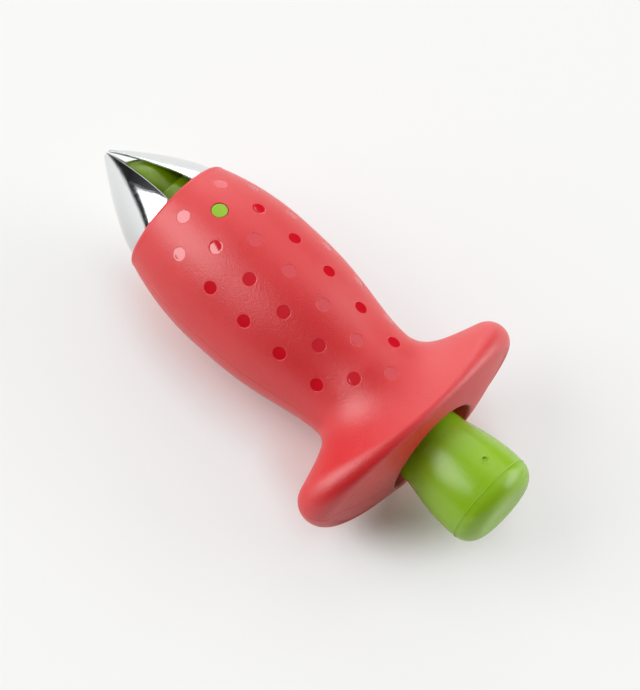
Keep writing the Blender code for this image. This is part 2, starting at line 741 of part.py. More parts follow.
def add_screw(assembly):
    """The screw that holds the carrier on the push rod."""
    under_head = CARRIER_FRONT_STATION - SEAT_LENGTH - FIT_GAP
    top = under_head - SCREW_HEAD_HEIGHT
    outline = [
        (top, 0),
        (top, SCREW_HEAD_RADIUS - SCREW_HEAD_HEIGHT / 2),
        (top + SCREW_HEAD_HEIGHT / 2, SCREW_HEAD_RADIUS),
        (under_head, SCREW_HEAD_RADIUS),
        (under_head, SCREW_RADIUS),
        (under_head + SCREW_LENGTH, SCREW_RADIUS),
        (under_head + SCREW_LENGTH, 0),
    ]
    screw = turned("carrier_screw", outline, SMALL_SEGMENTS)
    for turn in (0, math.pi / 2):
        low = (-top - RECESS_DEPTH, -RECESS_WIDTH / 2, -RECESS_LENGTH / 2)
        high = (-top + CUT_OVERRUN, RECESS_WIDTH / 2, RECESS_LENGTH / 2)
        screw = boolean(screw, box(low, high, turn_to(turn)), "DIFFERENCE")
    add_piece("carrier_screw", screw, STEEL, assembly)


def add_push_rod(assembly):
    """The steel rod from the carrier back into the button, with the screw's hole in its front end."""
    pilot = SCREW_RADIUS + RUNNING_GAP
    screw_end = CARRIER_FRONT_STATION - SEAT_LENGTH - FIT_GAP + SCREW_LENGTH
    outline = [
        (ROD_FRONT_STATION, pilot),
        (ROD_FRONT_STATION, ROD_RADIUS),
        (ROD_REAR_STATION, ROD_RADIUS),
        (ROD_REAR_STATION, 0),
        (screw_end + FIT_GAP, 0),
        (screw_end + FIT_GAP, pilot),
    ]
    add_piece("push_rod", turned("push_rod", outline, TURNED_SEGMENTS), STEEL, assembly)


def add_rod_bush(assembly):
    """The flanged bush in the bulkhead, caught between the shells, in which the rod slides."""
    bore = ROD_RADIUS + RUNNING_GAP
    sleeve_front = BULKHEAD_STATION - FIT_GAP
    sleeve_rear = BULKHEAD_STATION + BULKHEAD_THICKNESS + FIT_GAP
    outline = [
        (sleeve_front - BUSH_FLANGE_THICKNESS, bore),
        (sleeve_front - BUSH_FLANGE_THICKNESS, BUSH_FLANGE_RADIUS),
        (sleeve_front, BUSH_FLANGE_RADIUS),
        (sleeve_front, BUSH_RADIUS),
        (sleeve_rear, BUSH_RADIUS),
        (sleeve_rear, BUSH_FLANGE_RADIUS),
        (sleeve_rear + BUSH_FLANGE_THICKNESS, BUSH_FLANGE_RADIUS),
        (sleeve_rear + BUSH_FLANGE_THICKNESS, bore),
    ]
    add_piece("rod_bush", turned("rod_bush", outline, TURNED_SEGMENTS), PALE, assembly)
    return sleeve_rear + BUSH_FLANGE_THICKNESS


def add_washer(name, front, assembly):
    """A flat steel washer on the rod, from its front station."""
    hole = ROD_RADIUS + FIT_GAP
    rear = front + WASHER_THICKNESS
    outline = [(front, hole), (front, WASHER_RADIUS), (rear, WASHER_RADIUS), (rear, hole)]
    add_piece(name, turned(name, outline, TURNED_SEGMENTS), STEEL, assembly)
    return rear


def spring_points(front, rear):
    """Points along the spring's wire: closer turns at both ends, even ones between."""
    end_length = SPRING_END_TURNS * SPRING_END_PITCH
    active_turns = SPRING_TURNS - 2 * SPRING_END_TURNS
    active_length = rear - front - 2 * end_length
    points = []
    for k in range(SPRING_TURNS * SPRING_POINTS_PER_TURN + 1):
        turns = k / SPRING_POINTS_PER_TURN
        first = min(turns, SPRING_END_TURNS)
        last = max(turns - SPRING_END_TURNS - active_turns, 0)
        active = turns - first - last
        station = front + (first + last) * SPRING_END_PITCH + active * active_length / active_turns
        points.append(tool_point(station, SPRING_RADIUS, 2 * math.pi * turns))
    return points


def least_gap(points):
    """The least clear space between one turn of the wire and the next."""
    gaps = []
    for i, point in enumerate(points):
        for other in points[i + SPRING_POINTS_PER_TURN - 1:]:
            gaps.append((point - other).length - 2 * SPRING_WIRE_RADIUS)
    return min(gaps)


def add_return_spring(front, rear, assembly):
    """The coil spring between the bulkhead and the button, one unbroken round wire."""
    points = spring_points(front, rear)
    print("return_spring least gap between turns:", round(least_gap(points), 6))
    curve = bpy.data.curves.new("return_spring", "CURVE")
    curve.dimensions = "3D"
    curve.bevel_depth = SPRING_WIRE_RADIUS
    curve.bevel_resolution = 1
    curve.use_fill_caps = True
    spline = curve.splines.new("POLY")
    spline.points.add(len(points) - 1)
    for place, point in zip(spline.points, points):
        place.co = (*point, 1)
    spring = bpy.data.objects.new("return_spring", curve)
    curve.materials.append(material("return_spring", STEEL))
    spring.parent = assembly
    bpy.context.scene.collection.objects.link(spring)


def add_button(assembly):
    """The green button: a collar trapped in the housing, a tapered stem and a rounded end."""
    collar_rear = BUTTON_FRONT_STATION + COLLAR_THICKNESS
    socket = ROD_RADIUS + RUNNING_GAP
    outline = [
        (BUTTON_CUP_STATION, socket),
        (BUTTON_CUP_STATION, BUTTON_CUP_RADIUS),
        (BUTTON_FRONT_STATION, BUTTON_CUP_RADIUS),
        (BUTTON_FRONT_STATION, COLLAR_RADIUS),
        (collar_rear, COLLAR_RADIUS),
        (collar_rear, BUTTON_NECK_RADIUS),
        (REAR_STATION, BUTTON_HOLE_RADIUS),
    ]
    for k in range(1, 5):
        turn = math.pi / 2 * k / 4
        station = lerp(REAR_STATION, BUTTON_WIDEST_STATION, k / 4)
        outline.append((station, lerp(BUTTON_HOLE_RADIUS, BUTTON_WIDEST_RADIUS, math.sin(turn))))
    outline.append((BUTTON_SHOULDER_STATION, BUTTON_SHOULDER_RADIUS))
    for k in range(1, 6):
        turn = math.pi / 2 * k / 5
        station = lerp(BUTTON_SHOULDER_STATION, BUTTON_END_STATION, math.sin(turn))
        radius = lerp(BUTTON_FACE_RADIUS, BUTTON_SHOULDER_RADIUS, math.cos(turn))
        outline.append((station, radius))
    socket_end = ROD_REAR_STATION + FIT_GAP
    outline += [(BUTTON_END_STATION, 0), (socket_end, 0), (socket_end, socket)]
    add_piece("push_button", turned("push_button", outline, TURNED_SEGMENTS), GREEN, assembly)


def add_plunger(assembly):
    """Everything that the button drives, the bush it slides in and the spring that returns it."""
    add_carrier(assembly)
    add_screw(assembly)
    add_push_rod(assembly)
    bush_rear = add_rod_bush(assembly)
    front_seat = add_washer("spring_washer_front", bush_rear + FIT_GAP, assembly)
    rear_seat = BUTTON_CUP_STATION - FIT_GAP - WASHER_THICKNESS
    add_washer("spring_washer_rear", rear_seat, assembly)
    wire_gap = FIT_GAP + SPRING_WIRE_RADIUS
    add_return_spring(front_seat + wire_gap, rear_seat - wire_gap, assembly)
    add_button(assembly)


# Resting place


def resting_tilt():
    """The angle by which the tool's axis dips to the claws when belly and flange touch the table."""
    points = outer_profile(math.pi)
    belly = [point for point in points if point[0] < NECK_STATION]
    flange = [point for point in points if point[0] > NECK_STATION]
    edge_station, edge_radius = max(flange, key=lambda point: point[1])
    return min(math.atan2(edge_radius - r, edge_station - s) for s, r in belly)


def rest_on_table(assembly):
    """Lay the tool down with the middle of its outline's base at the origin."""
    assembly.rotation_euler = (0, resting_tilt(), 0)
    bpy.context.view_layer.update()
    corners = []
    for piece in assembly.children:
        if piece.type == "MESH":
            corners += [piece.matrix_world @ vertex.co for vertex in piece.data.vertices]
    low = Vector([min(corner[i] for corner in corners) for i in range(3)])
    high = Vector([max(corner[i] for corner in corners) for i in range(3)])
    assembly.location = (-(low.x + high.x) / 2, -(low.y + high.y) / 2, -low.z)
    bpy.context.view_layer.update()


def main():
    for item in list(bpy.data.objects):
        bpy.data.objects.remove(item)
    assembly = bpy.data.objects.new("huller", None)
    bpy.context.scene.collection.objects.link(assembly)
    add_shells(assembly)
    add_guide(assembly)
    add_claws(assembly)
    add_plunger(assembly)
    rest_on_table(assembly)


main()
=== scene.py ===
"""A strawberry huller lying on a pale table, laid out as a Blender add-on.

Shapes are worked out in the tool's own frame. A station is a distance behind the mouth, a radius goes out
from the tool's axis, and an angle goes round the axis from the top towards the left wing. Lengths are in
metres and angles in radians.
"""

import json
import math

import bmesh
import bpy
import numpy as np
from bpy.props import FloatProperty, FloatVectorProperty, IntProperty, PointerProperty
from mathutils import Matrix, Vector


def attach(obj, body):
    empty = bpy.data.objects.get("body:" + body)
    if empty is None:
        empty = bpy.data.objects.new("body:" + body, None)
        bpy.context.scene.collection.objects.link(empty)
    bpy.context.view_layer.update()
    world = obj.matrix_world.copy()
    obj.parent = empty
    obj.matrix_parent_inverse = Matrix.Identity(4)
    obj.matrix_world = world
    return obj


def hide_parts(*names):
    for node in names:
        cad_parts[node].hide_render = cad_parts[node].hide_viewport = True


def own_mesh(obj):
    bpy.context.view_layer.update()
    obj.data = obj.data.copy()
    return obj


bl_info = {
    "name": "Strawberry Huller",
    "version": (1, 0, 0),
    "blender": (4, 5, 0),
    "location": "3D View > Sidebar > Huller",
    "description": "Makes a push-button strawberry huller piece by piece, and the table it lies on",
    "category": "Add Mesh",
}

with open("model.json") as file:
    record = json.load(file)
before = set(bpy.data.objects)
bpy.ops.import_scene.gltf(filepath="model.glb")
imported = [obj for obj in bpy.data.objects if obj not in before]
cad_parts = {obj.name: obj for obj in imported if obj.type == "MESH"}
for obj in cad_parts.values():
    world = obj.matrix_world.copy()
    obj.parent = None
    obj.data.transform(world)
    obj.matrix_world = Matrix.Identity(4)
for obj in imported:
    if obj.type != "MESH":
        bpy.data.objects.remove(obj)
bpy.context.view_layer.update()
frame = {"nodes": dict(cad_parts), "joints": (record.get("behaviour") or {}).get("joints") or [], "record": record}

# Columns of the handle's grid are counted from the top. The rows of seeds are one column apart, the seam is at 4.
SHELL_COLUMNS_END = 4.0
# Each seed and each pin's hole has a block of even cells. These are its half width in columns, its cells along a
# side, its half length in metres, and the columns where the outer seeds' and the side pins' blocks end.
BLOCK_HALF = 0.31
BLOCK_CELLS = 8
BLOCK_REACH = 0.0019
OUTER_BLOCK_EDGE = 2 + BLOCK_HALF
PIN_BLOCK_END = 3.004
RING_POINTS = 4 * BLOCK_CELLS
# Behind this station the outer rows have no more seeds.
OUTER_SEEDS_END = 0.05

# Places round the tool, in degrees from the top towards the left wing.
PIN_TURNS = {"upper": 0, "left": 120, "right": 240}
CLAW_TURNS = {"left": 62, "lower": 182, "right": 302}
GATE_TURN = -6

# Each softbox's setting of brightness and, in degrees, its azimuth, elevation, width and height.
SOFTBOXES = {
    "key_softbox": ("key", 40, 36.5, 46, 46),
    "back_softbox": ("back", 235, 18, 48, 34),
    "right_softbox": ("right", 280, 50, 94, 47),
    "low_panel": ("low", 318, 15, 48, 28),
}

# Edges that bend by more than this stay sharp.
CREASE = math.radians(35)
# The gap where two pieces run closely in each other, and the width of the softened rim round a pin's hole.
CLOSE_FIT = 0.0001
PIN_RIM = 0.00016
# A pin's foot and a lug's floor, as distances from the axis.
PIN_START = 0.0075
LUG_FLOOR = 0.0072
# How deep a lug's root sits in the guide, how far its top stays from the wall, and how its edge is rounded.
LUG_STEP = 0.0003
# Points along each quarter circle of a claw's cut edges.
CORNER_POINTS = 4
# How blunt the guide's core is.
CORE_POWER = 2.4
# The screw's hole in the front end of the rod: its radius and the station of its floor.
PILOT_RADIUS = 0.0012
PILOT_END = 0.0299


def linear(code):
    """The linear red, green and blue of a colour written as six sRGB hex digits."""
    parts = [int(code[k : k + 2], 16) / 255 for k in (0, 2, 4)]
    return tuple(p / 12.92 if p <= 0.04045 else ((p + 0.055) / 1.055) ** 2.4 for p in parts)


def length(name, description, default):
    """A length that a user can set."""
    return FloatProperty(name=name, description=description, default=default, min=0, unit="LENGTH", precision=5)


def angle(name, description, degrees):
    """An angle that a user can set, given in degrees."""
    return FloatProperty(name=name, description=description, default=math.radians(degrees), unit="ROTATION")


def share(name, description, default):
    """A plain number that a user can set."""
    return FloatProperty(name=name, description=description, default=default, min=0)


def colour(name, description, code):
    """A colour that a user can set, given as sRGB hex digits."""
    return FloatVectorProperty(name=name, description=description, default=linear(code), subtype="COLOR", min=0, max=1)


class HullerHandle(bpy.types.PropertyGroup):
    """Sizes of the red handle and its seed marks."""

    bore_radius: length("Mouth bore", "Inside radius of the mouth", 0.01155)
    mouth_radius: length("Mouth", "Radius the body's curve has at the mouth", 0.01225)
    lip_length: length("Lip", "Length of the mouth's rounded lip", 0.0011)
    belly_radius: length("Belly", "Radius of the strawberry where it is widest", 0.01565)
    belly_station: length("Belly place", "Distance of the belly behind the mouth", 0.019)
    neck_radius: length("Neck", "Radius of the neck in front of the flange", 0.01255)
    neck_station: length("Neck place", "Distance of the neck behind the mouth", 0.0489)
    waist_power: share("Waist", "How late the body draws in behind the belly", 1.5)
    half_width: length("Flange half width", "From the axis to the tip of a wing", 0.0279)
    half_depth: length("Flange half depth", "From the axis to the flange's top edge", 0.01505)
    wing_edge: length("Wing edge", "Radius of the rounded edge at a wing's tip", 0.0042)
    middle_edge: length("Middle edge", "Radius of the rounded edge between the wings", 0.0012)
    wing_flare: angle("Wing flare", "Lean of the flange's front face at the wings", 73)
    middle_flare: angle("Middle flare", "Lean of the flange's front face between the wings", 30)
    neck_handle: share("Neck stiffness", "How far the neck runs on before it flares", 0.24)
    flare_handle: share("Flare stiffness", "How straight the flare runs into the edge", 0.55)
    rear_station: length("Rear face", "Distance of the rear face behind the mouth", 0.0682)
    wing_drop: length("Wing drop", "How far the rear face curves forward to a wing's tip", 0.0059)
    middle_drop: length("Middle drop", "How far the rear face curves forward to the top edge", 0.003)
    hole_radius: length("Rear hole", "Radius of the hole round the button", 0.0103)
    hole_fillet: length("Rear hole edge", "Radius of that hole's rounded edge", 0.0005)
    cylinder_radius: length("Cylinder", "Inside radius behind the bulkhead", 0.0111)
    shoulder_station: length("Shoulder", "Place of the step that stops the button's collar", 0.0638)
    wall: length("Wall", "Thickness of the body's wall", 0.002)
    bulkhead_station: length("Bulkhead", "Distance of the bulkhead behind the mouth", 0.0316)
    bulkhead_thickness: length("Bulkhead thickness", "Thickness of the bulkhead", 0.0025)
    bush_hole: length("Bush hole", "Radius of the bulkhead's hole", 0.0047)
    seam: length("Seam", "Half of the gap between the two shells", 0.00003)
    seam_edge: length("Seam edge", "Rounding of the shells' edges along the seam", 0.00007)
    seed_radius: length("Seed radius", "Radius of a seed mark", 0.00135)
    seed_depth: length("Seed depth", "How deep a seed mark lies below the skin", 0.00004)
    seed_rim: length("Seed rim", "Rounding of a seed mark's rim", 0.00007)
    seed_pitch: length("Seed pitch", "Distance from seed to seed along a row", 0.009)
    seed_first: length("First seed", "Place of the first seed in the rows that start near the mouth", 0.0047)
    mouth_fan: angle("Row angle at the mouth", "Angle between rows of seeds at the mouth", 21.7)
    neck_fan: angle("Row angle at the neck", "Angle between rows of seeds at the neck", 26.7)
    pin_station: length("Pin place", "Distance of the guide's pins behind the mouth", 0.009)
    pin_radius: length("Pin radius", "Radius of a guide pin", 0.001575)
    pin_gap: length("Pin gap", "Gap round a guide pin in its hole", 0.0001)


class HullerClaws(bpy.types.PropertyGroup):
    """Sizes of the steel claws and of the green guide between them."""

    reach: length("Reach", "How far the closed claws stand out of the mouth", 0.018)
    tip_radius: length("Tip", "Distance of a claw's tip from the axis", 0.00095)
    mouth_radius: length("At the mouth", "Distance of a claw from the axis at the mouth", 0.01125)
    bulge: share("Bulge", "How full the claws' pointed arch is", 1.35)
    thickness: length("Steel", "Thickness of the steel", 0.00045)
    cut_edge: length("Cut edge", "Rounding of the steel's cut edges", 0.00008)
    tip_gap: length("Gap at the tip", "Half of the gap between two claws at the tip", 0.0003)
    mouth_gap: length("Gap at the mouth", "Half of the gap between two claws at the mouth", 0.0033)
    jog_length: length("Jog length", "Length of the step in behind the mouth", 0.002)
    jog_radius: length("Jog radius", "Distance from the axis behind that step", 0.009825)
    shank_station: length("Shank place", "Where the blade has become a narrow shank", 0.005)
    shank_half: length("Shank", "Half width of the shank at its front", 0.0032)
    eye_half: length("Eye", "Half width of the rolled eye", 0.0025)
    eye_radius: length("Eye radius", "Outside radius of the rolled eye", 0.0013)
    hinge_station: length("Hinge place", "Distance of the axles behind the mouth", 0.024)
    hinge_radius: length("Hinge radius", "Distance of the axles from the axis", 0.005)
    axle_radius: length("Axle", "Radius of an axle", 0.00075)
    axle_length: length("Axle length", "Length of an axle", 0.0096)
    nose_length: length("Nose", "How far the guide stands out of the mouth", 0.0042)
    nose_shoulder: length("Nose shoulder", "Radius of the guide's shoulder behind its nose", 0.0078)
    core_length: length("Core", "Length of the pointed core ahead of the nose", 0.0106)
    core_radius: length("Core foot", "Radius of that core at its foot", 0.0071)
    rim_radius: length("Guide rim", "Radius of the guide in the mouth", 0.0089)
    tail_radius: length("Guide tail", "Radius of the guide's rear end", 0.0053)
    tail_station: length("Guide end", "Distance of the guide's rear end behind the mouth", 0.0115)
    guide_bore: length("Guide bore", "Radius of the guide's hollow", 0.0042)
    lug_width: length("Lug width", "Width of the lugs that hold the pins", 0.0046)
    lug_length: length("Lug length", "Length of those lugs along the axis", 0.005)


class HullerPlunger(bpy.types.PropertyGroup):
    """Sizes of the button, the rod and the spring."""

    button_front: length("Button front", "Place of the button's front face", 0.061)
    collar_thickness: length("Collar", "Thickness of the button's collar", 0.0025)
    collar_radius: length("Collar radius", "Radius of the button's collar", 0.0108)
    neck_radius: length("Button neck", "Radius of the button behind its collar", 0.0075)
    hole_radius: length("Button at the hole", "Radius of the button in the rear hole", 0.0079)
    widest_radius: length("Button's widest", "Radius of the button where it is widest", 0.0096)
    shoulder_radius: length("Button shoulder", "Radius where the rounded end starts", 0.0095)
    face_radius: length("Button face", "Radius of the flat in the end", 0.0053)
    end_station: length("Button end", "Distance of the button's end behind the mouth", 0.08565)
    rounding: length("Rounding", "Length of the rounded end", 0.0039)
    land: length("Land", "Length between the widest ring and the rounded end", 0.0016)
    cup_radius: length("Cup", "Radius of the hollow that holds the spring", 0.0062)
    cup_station: length("Cup end", "Place of that hollow's floor", 0.0725)
    gate_station: length("Gate mark place", "Distance of the gate mark behind the mouth", 0.0776)
    gate_radius: length("Gate mark", "Radius of the small moulding mark", 0.00062)
    rod_radius: length("Rod", "Radius of the push rod", 0.00225)
    rod_front: length("Rod front", "Place of the rod's front end", 0.0255)
    rod_rear: length("Rod rear", "Place of the rod's rear end", 0.08065)
    bush_radius: length("Bush", "Radius of the bush's sleeve", 0.0044)
    bush_flange: length("Bush flange", "Radius of the bush's flanges", 0.0062)
    bush_front: length("Bush front", "Place of the bush's front face", 0.0303)
    bush_rear: length("Bush rear", "Place of the bush's rear face", 0.0354)
    flange_thickness: length("Flange thickness", "Thickness of the bush's flanges", 0.001)
    washer_radius: length("Washer", "Radius of the spring's washers", 0.0059)
    washer_thickness: length("Washer thickness", "Thickness of those washers", 0.0007)
    front_washer: length("Front washer place", "Front face of the front washer", 0.0357)
    rear_washer: length("Rear washer place", "Front face of the rear washer", 0.0715)
    fit: length("Fit", "Gap between pieces that fit together", 0.0003)
    spring_radius: length("Spring", "Radius of the spring to its wire's middle", 0.0046)
    wire_radius: length("Wire", "Radius of the spring's wire", 0.00045)
    end_pitch: length("End pitch", "Rise of the closer turns at the spring's ends", 0.0014)
    turns: IntProperty(name="Turns", description="Turns of the spring", default=11, min=3)
    travel: length("Travel", "How far the button goes in", 0.01)


class HullerColours(bpy.types.PropertyGroup):
    """Colours of the materials."""

    red: colour("Red", "Moulded red of the handle, without the haze of its grain", "D41019")
    seed_red: colour("Seed red", "The same red on the polished floors of the seed marks", "CE0D22")
    green: colour("Green", "Moulded green of the button, the carrier and the pins", "8CB919")
    # The guide's green is the button's green plastic with painted shade: it is darkened for the shade it sits in
    # between the claws.
    dark_green: colour("Dark green", "Moulded green of the guide, which sits in the claws' shade", "668203")
    steel: colour("Steel", "Polished stainless steel of the claws", "E4E6E8")
    plain_steel: colour("Plain steel", "Rod, axles, washers, screw and spring", "D2D4D6")
    nylon: colour("Nylon", "Natural nylon of the bush", "E6E3D8")
    table: colour("Table", "Pale table", "F0F0EE")


class HullerStage(bpy.types.PropertyGroup):
    """The camera, the lamps and the table."""

    distance: length("Camera distance", "From the camera to its target", 1.13778)
    azimuth: angle("Azimuth", "Camera's direction round the upright, from +X towards +Y", 117.012)
    elevation: angle("Elevation", "Camera's height above the horizon", 61.907)
    roll: angle("Roll", "Turn of the camera about its view", 17.597)
    target: FloatVectorProperty(
        name="Target", description="Point the camera looks at", default=(-0.00398, -0.000358, 0.014906), unit="LENGTH"
    )
    lens: FloatProperty(name="Lens", description="Focal length for a 36 mm sensor", default=313.04, unit="CAMERA")
    lamp_distance: length("Lamp distance", "From the tool to each softbox", 2.5)
    key: share("Key", "Brightness of the softbox ahead of the claws on the left", 4.4)
    back: share("Back", "Brightness of the low softbox behind the right wing", 3.6)
    right: share("Right", "Brightness of the wide, dim softbox high on the right", 0.95)
    low: share("Low", "Brightness of the low, dim panel on the right", 2.0)
    studio: share("Studio", "Brightness of the studio round the table", 0.09)
    backdrop: share("Backdrop", "Brightness of the white backdrop in the picture", 0.94)
    table_glow: share("Table glow", "Share of the table that shines evenly in the picture", 0.58)
    contact_reach: length("Contact reach", "How far the dark contact shadow reaches round the tool", 0.016)
    table_half: length("Table", "Half of the table's width", 3.0)


# Arrays


def lerp(start, end, part):
    """The value a part of the way from start to end."""
    return start + (end - start) * part


def smoothstep(part):
    """An ease from 0 to 1 with level ends: 3 x squared minus 2 x cubed."""
    part = np.clip(part, 0.0, 1.0)
    return part * part * (3 - 2 * part)


def tool_point(station, radius, turn):
    """Points from cylinder coordinates: minus station, radius times sine, radius times cosine."""
    station, radius, turn = np.broadcast_arrays(station, radius, turn)
    return np.stack([-station, radius * np.sin(turn), radius * np.cos(turn)], axis=-1)


def full_turn(count):
    """Angles once round, evenly apart."""
    return np.linspace(0, 2 * math.pi, count, endpoint=False)


def unit(vectors):
    """Vectors divided by their lengths."""
    return vectors / np.linalg.norm(vectors, axis=-1, keepdims=True)


def tool_frame(end_station):
    """The tool's axes and origin in the model's frame, from the button's travel and its end face."""
    press = next(joint for joint in frame["joints"] if joint["name"] == "button_press")
    forward = unit(np.array(press["axis"], float))
    left = np.array([0.0, 1.0, 0.0])
    face = np.array(frame["record"]["mounts"][0]["pos_m"], float)
    return np.stack([forward, left, np.cross(forward, left)]), face + forward * end_station


class Shape:
    """Points and faces of one piece in the tool's frame, gathered sheet by sheet."""

    def __init__(self):
        self.points = []
        self.faces = []
        self.marks = []
        self.count = 0

    def add_points(self, points):
        """Adds points and returns their numbers in the same layout."""
        flat = points.reshape(-1, 3)
        numbers = np.arange(self.count, self.count + len(flat)).reshape(points.shape[:-1])
        self.points.append(flat)
        self.count += len(flat)
        return numbers

    def add_faces(self, faces, mark=0):
        """Adds faces, each a row of point numbers, with a material's number."""
        rows = faces.reshape(-1, faces.shape[-1]).tolist()
        self.faces += rows
        self.marks += [mark] * len(rows)

    def add_sheet(self, points):
        """Adds a grid of points and its quads, with the last column joined to the first."""
        numbers = self.add_points(points)
        self.add_faces(quads(numbers, around=True))
        return numbers

    def finish(self, name, body, nodes, slot, *materials):
        """Makes the piece: points merged, faces outward, smooth but for creases, riding on its body."""
        axes, origin = tool_frame(bpy.context.scene.huller_plunger.end_station)
        mesh = bpy.data.meshes.new(name)
        mesh.from_pydata((np.concatenate(self.points) @ axes + origin).tolist(), [], self.faces)
        mesh.polygons.foreach_set("material_index", self.marks)
        work = bmesh.new()
        work.from_mesh(mesh)
        bmesh.ops.remove_doubles(work, verts=work.verts, dist=1e-7)
        bmesh.ops.recalc_face_normals(work, faces=work.faces)
        work.to_mesh(mesh)
        work.free()
        for material in materials:
            mesh.materials.append(get_material(material))
        mesh.shade_smooth()
        mesh.set_sharp_from_angle(angle=CREASE)
        piece = bpy.data.objects.new(name, mesh)
        bpy.context.scene.collection.objects.link(piece)
        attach(piece, body)
        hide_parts(*nodes)
        return piece


def quads(numbers, around=False):
    """The quads of a grid of point numbers, with its last column joined to its first if it goes around."""
    if around:
        numbers = np.concatenate([numbers, numbers[:, :1]], axis=1)
    corners = (numbers[:-1, :-1], numbers[:-1, 1:], numbers[1:, 1:], numbers[1:, :-1])
    return np.stack(corners, axis=-1).reshape(-1, 4)


def rounded(outline, size, steps=4):
    """A closed outline with each corner drawn off as a curve.

    Each corner is replaced by a parabola that starts and ends the given size away along its two sides,
    or just under half a side where the side is short. A corner on the axis stays as it is.
    """
    corner = np.array(outline, float)
    before, after = np.roll(corner, 1, axis=0) - corner, np.roll(corner, -1, axis=0) - corner
    reach = np.broadcast_to(np.asarray(size, float), len(corner)) * (corner[:, 1] > 0)

    def off(side):
        distance = np.linalg.norm(side, axis=1)
        return corner + side * np.minimum(reach / distance, 0.49)[:, None]

    part = np.linspace(0, 1, steps + 1)[None, :, None]
    start, end = off(before)[:, None], off(after)[:, None]
    curve = (1 - part) ** 2 * start + 2 * part * (1 - part) * corner[:, None] + part**2 * end
    return curve.reshape(-1, 2)


def turned(outline, segments, place=None):
    """Points of a body turned from an outline of distances along its axis and radii, which is closed here.

    Each point goes once round: along the axis by its distance, and out by its radius at each angle. Without
    a place the axis is the tool's. A place is an origin and three axes, the last of them the one to turn about.
    """
    outline = np.concatenate([outline, outline[:1]])
    along, radius = outline[:, :1], outline[:, 1:]
    turn = full_turn(segments)[None]
    if place is None:
        return tool_point(along, radius, turn)
    origin, side, other, axis = place
    out = np.cos(turn)[..., None] * side + np.sin(turn)[..., None] * other
    return origin + along[..., None] * axis + radius[..., None] * out


def make_piece(points, name, body, nodes, slot, *materials):
    """A piece made of a single sheet."""
    shape = Shape()
    shape.add_sheet(points)
    return shape.finish(name, body, nodes, slot, *materials)


def radial_place(station, turn):
    """An origin on the axis and axes whose last points out at an angle."""
    out = np.array([0.0, math.sin(turn), math.cos(turn)])
    round_way = np.array([0.0, math.cos(turn), -math.sin(turn)])
    return np.array([-station, 0.0, 0.0]), np.array([-1.0, 0.0, 0.0]), round_way, out


def radial_point(place, along, wide, height):
    """Points by their distances along a radial place's back, round and outward ways."""
    origin, back, round_way, out = place
    return origin + along[..., None] * back + wide[..., None] * round_way + height[..., None] * out


def tangent_place(station, radius, turn):
    """An origin at a station and radius and axes whose last runs round the tool's axis."""
    origin, back, round_way, out = radial_place(station, turn)
    return origin + out * radius, back, out, round_way


# Handle


def body_radius(h, station):
    """The strawberry's radius.

    Up to the belly it is a parabola: belly radius less the difference to the mouth times the squared share
    of the way left. Behind the belly it eases to the neck by half of one minus the cosine of pi times the
    share of the way raised to the waist's power.
    """
    ahead = np.clip((h.belly_station - station) / h.belly_station, 0, None)
    behind = np.clip((station - h.belly_station) / (h.neck_station - h.belly_station), 0, 1)
    ease = (1 - np.cos(math.pi * behind**h.waist_power)) / 2
    front = h.belly_radius - (h.belly_radius - h.mouth_radius) * ahead**2
    return np.where(station <= h.belly_station, front, lerp(h.belly_radius, h.neck_radius, ease))


def inner_radius(h, station):
    """Radius of the inside: the body's less the wall, but never less than the mouth's or the cylinder's."""
    least = np.where(station < h.bulkhead_station, h.bore_radius, h.cylinder_radius)
    return np.maximum(least, body_radius(h, station) - h.wall)


def rear_curvature(h, turn):
    """Forward drop of the rear face per squared radius: the wings' and the middle's, by squared sine and cosine."""
    return h.wing_drop * (np.sin(turn) / h.half_width) ** 2 + h.middle_drop * (np.cos(turn) / h.half_depth) ** 2


def rear_face(h, radius, turn):
    """Station of the domed rear face at a radius."""
    return h.rear_station - rear_curvature(h, turn) * radius**2


def flange_edge(h, turn):
    """Centre station, centre radius, edge radius, rear tilt and front flare of the flange's rounded edge.

    The edge follows an ellipse. Its rounding and its flare go from the middle's to the wing's values with
    the ellipse's radius, and it stands just ahead of the domed rear face.
    """
    oval = h.half_width * h.half_depth / np.hypot(h.half_width * np.cos(turn), h.half_depth * np.sin(turn))
    wing = (oval - h.half_depth) / (h.half_width - h.half_depth)
    edge = lerp(h.middle_edge, h.wing_edge, wing)
    flare = lerp(h.middle_flare, h.wing_flare, wing)
    centre = oval - edge
    tilt = np.arctan(2 * rear_curvature(h, turn) * centre)
    return rear_face(h, centre, turn) - edge * np.cos(tilt), centre, edge, tilt, flare


def flare_curve(h, part, turn):
    """Station and radius of the flare, and how fast the station grows, at a part of its way.

    A cubic Bezier curve from the neck to the start of the rounded edge. Its first handle runs straight back
    and its last one along the flare, each a share of the distance between the two ends.
    """
    station, centre, edge, _, flare = flange_edge(h, turn)
    end = station - edge * np.sin(flare), centre + edge * np.cos(flare)
    start = h.neck_station, h.neck_radius
    reach = np.hypot(end[0] - start[0], end[1] - start[1])
    first = start[0] + reach * h.neck_handle, start[1]
    last = end[0] - np.cos(flare) * reach * h.flare_handle, end[1] - np.sin(flare) * reach * h.flare_handle
    weights = (1 - part) ** 3, 3 * part * (1 - part) ** 2, 3 * part**2 * (1 - part), part**3
    knots = start, first, last, end
    place, radius = (sum(w * knot[axis] for w, knot in zip(weights, knots)) for axis in (0, 1))
    speed = (
        3 * (1 - part) ** 2 * (first[0] - start[0])
        + 6 * part * (1 - part) * (last[0] - first[0])
        + 3 * part**2 * (end[0] - last[0])
    )
    return place, radius, speed


def flare_part(h, station, turn):
    """The part of the flare's way at which it has a station, by ten steps of Newton's rule."""
    part = np.broadcast_to(0.5, np.broadcast_shapes(np.shape(station), np.shape(turn)))
    for _ in range(10):
        place, _, speed = flare_curve(h, part, turn)
        part = np.clip(part - (place - station) / speed, 0, 1)
    return part


